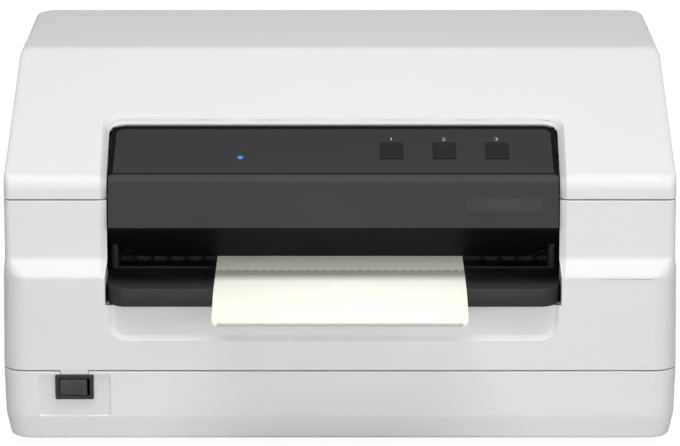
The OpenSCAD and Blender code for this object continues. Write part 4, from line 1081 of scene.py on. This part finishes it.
for x in (-110, -40, 40, 105):
    add_block(panel_mesh, (x - 10, x + 10), (pad_y - 8, pad_y + 8), (pad_z - 1, pad_z + 1), 0.3)
# Painted shade: the underside, the cheeks and the pads take the near-black slot plastic, dark as under an
# eave.
for face in panel_mesh.faces:
    if face not in plate:
        face.material_index = 1
settle(panel_mesh, "panel_plate", "panel_plastic", "cover", ["control_panel"], sharp=22.0,
       looks=("panel_plastic", "slot_black"))

# %% [markdown]
# ## Buttons and label
#
# The buttons are small caps, a little longer up the slope than wide, with a shallow dish for the
# fingertip. The label is a bare film on the panel's lower face.

# %% On the slope


def slope_place(x, up, out=0.0):
    """The matrix of a flat drawing laid on the slope: X across, Y up the slope, Z out of it."""
    return Matrix.Translation((x, *on_slope_point(up, out))) @ Matrix.Rotation(SLOPE_ANGLE, 4, "X")


BUTTON_UP, BUTTONS, BUTTON_HALF = 30.9, [29.4, 59.6, 89.8], (6.5, 8.2)
CAP_LEVELS = (  # height, how much wider, and the corners' radius: a flange, the cap's side and its dish
    (-6.0, 1.2, 2.0), (-5.0, 1.2, 2.0), (-5.0, 0.0, 1.2), (0.35, 0.0, 1.2), (0.65, -0.2, 1.2),
    (0.75, -0.6, 1.1), (0.6, -1.5, 1.0), (0.25, -3.4, 1.0), (0.15, -4.8, 0.8))
for number, x in enumerate(BUTTONS, 1):
    cap = bmesh.new()
    wide, long = BUTTON_HALF
    skin(cap, [plan_ring(cap, (-wide - e, wide + e), (-long - e, long + e), z, r, steps=5)
               for z, e, r in CAP_LEVELS])
    bmesh.ops.transform(cap, matrix=slope_place(x, BUTTON_UP), verts=cap.verts)
    body = f"button_{number}"
    settle(cap, f"button_cap_{number}", "button_plastic", body, [body], sharp=40.0)

LABEL_X, LABEL_FOOT, LABEL_TALL = (71.6, 113.9), 136.3, 8.0
label_mesh = bmesh.new()
low = along_at(panel_line, height=LABEL_FOOT)
add_stack(label_mesh, LABEL_X, (low, low + LABEL_TALL), ((-0.3, 0), (0.12, 0)), 0.6, steps=4)
bend_over(label_mesh, panel_line)
settle(label_mesh, "bare_label", "label_film", "cover", ["blank_label"])

# %% [markdown]
# ## Status lamp
#
# The lit lamp is a small domed lens, flush with the panel, so that it can catch a highlight.

# %% Lens
LAMP_X, LAMP_UP = -56.8, 25.0
lens_mesh = bmesh.new()
circles = []
for radius, height in ((1.9, -2.0), (1.9, -0.75), (1.7, -0.55), (1.2, -0.35), (0.6, -0.25)):
    known = set(lens_mesh.edges)
    bmesh.ops.create_circle(lens_mesh, segments=40, radius=radius, matrix=Matrix.Translation((0, 0, height)))
    circles.append([e for e in lens_mesh.edges if e not in known])
skin(lens_mesh, circles)
bmesh.ops.transform(lens_mesh, matrix=slope_place(LAMP_X, LAMP_UP), verts=lens_mesh.verts)
settle(lens_mesh, "lit_lens", "blue_lamp", "cover", ["power_lamp"], sharp=60.0)

# %% [markdown]
# ## Printed marks
#
# Each button has its number above it. Lettering on a part is ink, a tenth of a millimetre thick. Text
# is turned into a mesh first and laid in place afterwards, so that it stays exactly where the panel is.

# %% Figures over the buttons
FIGURE_SIZE, FIGURE_UP, FIGURE_OUT, HALF_INK = 4.8, 13.8, -0.78, 0.05


def printed(text, name, matrix):
    """Flat figures as a thin layer of ink."""
    curve = bpy.data.curves.new(name, "FONT")
    curve.body, curve.size, curve.align_x, curve.align_y = text, FIGURE_SIZE, "CENTER", "CENTER"
    curve.extrude, curve.resolution_u = HALF_INK, 3
    mesh = bmesh.new()
    data = bpy.data.meshes.new_from_object(bpy.data.objects.new(name, curve))
    mesh.from_mesh(data)
    bpy.data.meshes.remove(data)
    bpy.data.curves.remove(curve)
    bmesh.ops.transform(mesh, matrix=matrix, verts=mesh.verts)
    settle(mesh, name, "label_film", "cover", looks=("mark_ink",))


for number, x in enumerate(BUTTONS, 1):
    printed(str(number), f"mark_{number}", slope_place(x, BUTTON_UP + FIGURE_UP, FIGURE_OUT))

# %% [markdown]
# ## Front tray
#
# The tray under the slot has a front apron that stands a little proud of the casing, and upright ends
# beside the slot. Its front corners are quarter ellipses, longer than they are wide, so a ring with
# round corners is stretched there. The deck ends in a fine raised bead and drops into the slot.

# %% Front tray
TRAY_HALF, TRAY_FRONT, CORNER_WIDE, CORNER_LONG = OPENING - 0.15, -1.5, 11.0, 20.0
STEP_BACK, STEP_DROP, BEAD_HIGH, BEAD_GROOVE = 49.0, 2.6, 0.25, -1.1
TRAY_LEVELS = ((89.0, 2.2), (TRAY_BOTTOM, 2.0), (TRAY_BOTTOM, 0.5), (83.3, 0.15), (84.0, 0.0),
               (92.9, 0.0), (93.35, 0.12), (93.6, 0.35), (TRAY_TOP, 0.7))  # height and inset
tray_mesh = bmesh.new()
add_stack(tray_mesh, (LANE - TRAY_HALF, LANE + TRAY_HALF), (TRAY_FRONT, 72.0), TRAY_LEVELS, CORNER_WIDE, 3.0)
for vert in tray_mesh.verts:
    if vert.co.y < TRAY_FRONT + CORNER_WIDE:
        vert.co.y = TRAY_FRONT + (vert.co.y - TRAY_FRONT) * CORNER_LONG / CORNER_WIDE
slice_across(tray_mesh, [STEP_BACK + step for step in (-5.0, -1.2, -0.7, 0.0, 0.5)])
for vert in tray_mesh.verts:
    edge_at = vert.co.y - STEP_BACK
    if vert.co.z > TRAY_TOP - 0.05 and -1.3 < edge_at < 0.1:
        vert.co.z += BEAD_GROOVE if edge_at < -1.0 else BEAD_HIGH
    elif edge_at > 0.1:
        vert.co.z = min(vert.co.z, TRAY_TOP - STEP_DROP)
for x in (LANE - PANEL_HALF - 0.3, LANE + PANEL_HALF - 3.7):
    add_block(tray_mesh, (x, x + 4.0), (STEP_BACK - 3.0, 71.5), (90.0, 110.7), 0.8)
for x in (LANE - 68.5, LANE, LANE + 68.5):
    add_block(tray_mesh, (x - 1, x + 1), (1.0, 70), (TRAY_BOTTOM + 0.2, 89), 0.2)
settle(tray_mesh, "tray_moulding", "black_plastic", "root", ["front_tray"], sharp=35.0)

# %% [markdown]
# ## Mouth of the slot
#
# Behind the tray the sheet runs in under an upper guide with a raised front edge. Upright ribs stand
# on both sides of the sheet's way. They are dark on dark, so they show only as faint bars, but the
# slot would look like a plain hole without them.

# %% Upper guide and ribs
GUIDE_LOW, GUIDE_HIGH, GUIDE_HALF = 98.5, 98.5 + 1.6, 112
RIB_FIRST, RIB_PITCH, RIB_COUNT, SHEET_HALF = -120.0, 10.15, 24, 76
guide = bmesh.new()
add_plate(guide, [(44.5, 102.8), (61.5, GUIDE_LOW), (92, GUIDE_LOW), (92, GUIDE_HIGH), (62, GUIDE_HIGH),
                  (45.2, 104.6)], (LANE - GUIDE_HALF, LANE + GUIDE_HALF), 0.2)
guide_left, guide_right = (corner.x * 1000 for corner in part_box("front_upper_guide"))
add_block(guide, (guide_left, guide_right), (70, 91), (GUIDE_LOW, GUIDE_HIGH), 0.2)
for x in (RIB_FIRST + RIB_PITCH * k for k in range(RIB_COUNT)):
    if abs(x) > SHEET_HALF:
        add_plate(guide, [(65, 91.3), (71.5, 91.3), (71.5, GUIDE_LOW + 1), (67.5, GUIDE_LOW + 1), (65.5, 96)],
                  (x - 0.9, x + 0.9), 0.25)
# Painted shade: the guide and its ribs take the near-black slot plastic, dark as deep in the slot.
settle(guide, "upper_guide_moulding", "black_plastic", "root", ["front_upper_guide"], looks=("slot_black",))

# %% [markdown]
# ## Passbook
#
# A booklet has a little stiffness: it leaves the slot straight and its free end droops in a soft
# curve. It is a thin rounded slab, sliced across and lowered by the square of its reach.

# %% Passbook
BOOK_HALF, BOOK_OUT, BOOK_DROOP, BOOK_BACK, FOLD_DEEP = 71.25, 50.0, 9.3, 176.7, 0.25
BOOK_LEVELS = ((94.0, 0.25), (94.2, 0.05), (94.35, 0.0), (95.95, 0.0), (96.1, 0.05), (96.3, 0.25))
book = bmesh.new()
add_stack(book, (-BOOK_HALF, BOOK_HALF), (-BOOK_OUT, BOOK_BACK), BOOK_LEVELS, 4.0, 3.0, steps=6)
slice_across(book, [*range(-46, 1, 3), FOLD - 0.5, FOLD, FOLD + 0.5])
for vert in book.verts:
    vert.co.z -= BOOK_DROOP * (max(-vert.co.y, 0.0) / BOOK_OUT) ** 2
    if abs(vert.co.y - FOLD) < 0.1 and vert.co.z > 96.0:
        vert.co.z -= FOLD_DEEP
settle(book, "passbook_booklet", "paper", "passbook", ["passbook"], sharp=50.0)

# %% [markdown]
# ## Power switch
#
# A black frame holds a rocker whose two faces lean towards each other. The left end is pressed in, so
# the right end stands out and has a dark gap beside it.

# %% Switch frame
FRAME_LEVELS = (  # half width, half height, out and the corners' radius
    (9.3, 6.0, -22.0, 0.5), (9.3, 6.0, -1.0, 0.5), (10.9, 7.2, -1.0, 0.9), (10.9, 7.2, 0.4, 0.9),
    (10.6, 6.9, 0.8, 0.8), (8.9, 5.3, 0.8, 0.6), (8.6, 5.0, 0.5, 0.5), (8.6, 5.0, -12.0, 0.5))
bezel = bmesh.new()
skin(bezel, [plan_ring(bezel, (-w, w), (-h, h), z, r, steps=4) for w, h, z, r in FRAME_LEVELS])
stand_up(bezel)
bmesh.ops.translate(bezel, vec=(SWITCH_X, 0, SWITCH_Z), verts=bezel.verts)
for x in (SWITCH_X - 5, SWITCH_X, SWITCH_X + 5):
    add_block(bezel, (x - 0.4, x + 0.4), (22, 30), (SWITCH_Z - 2.5, SWITCH_Z + 2.5), 0.15, 2)
settle(bezel, "switch_frame", "black_plastic", "root", ["switch_body"], sharp=35.0)

# %% Rocker
ROCKER_HALF, ROCKER_TILT, ROCKER_BACK = 4.6, -6, 5
ROCKER_OUTLINE = [(-7.7, -6.6), (0, -5.6), (7.7, -6.6), (7.7, -1), (3, 4), (-3, 4), (-7.7, -1)]
rocker = bmesh.new()
face = rocker.faces.new([rocker.verts.new((x, y, -ROCKER_HALF)) for x, y in ROCKER_OUTLINE])
pulled_out(rocker, [face], (0, 0, 2 * ROCKER_HALF))
bmesh.ops.recalc_face_normals(rocker, faces=rocker.faces)
round_off(rocker, rocker.edges[:], 0.45, 3)
add_post(rocker, (0, 0, 0), 11.2, 1.5, segments=24)
tilt = Matrix.Rotation(math.radians(ROCKER_TILT), 4, "Z")
place = Matrix.Translation((SWITCH_X, ROCKER_BACK, SWITCH_Z))
bmesh.ops.transform(rocker, matrix=place @ tilt, verts=rocker.verts)
settle(rocker, "rocker_cap", "button_plastic", "power_rocker", ["power_rocker"], sharp=35.0,
       looks=("rocker_plastic",))
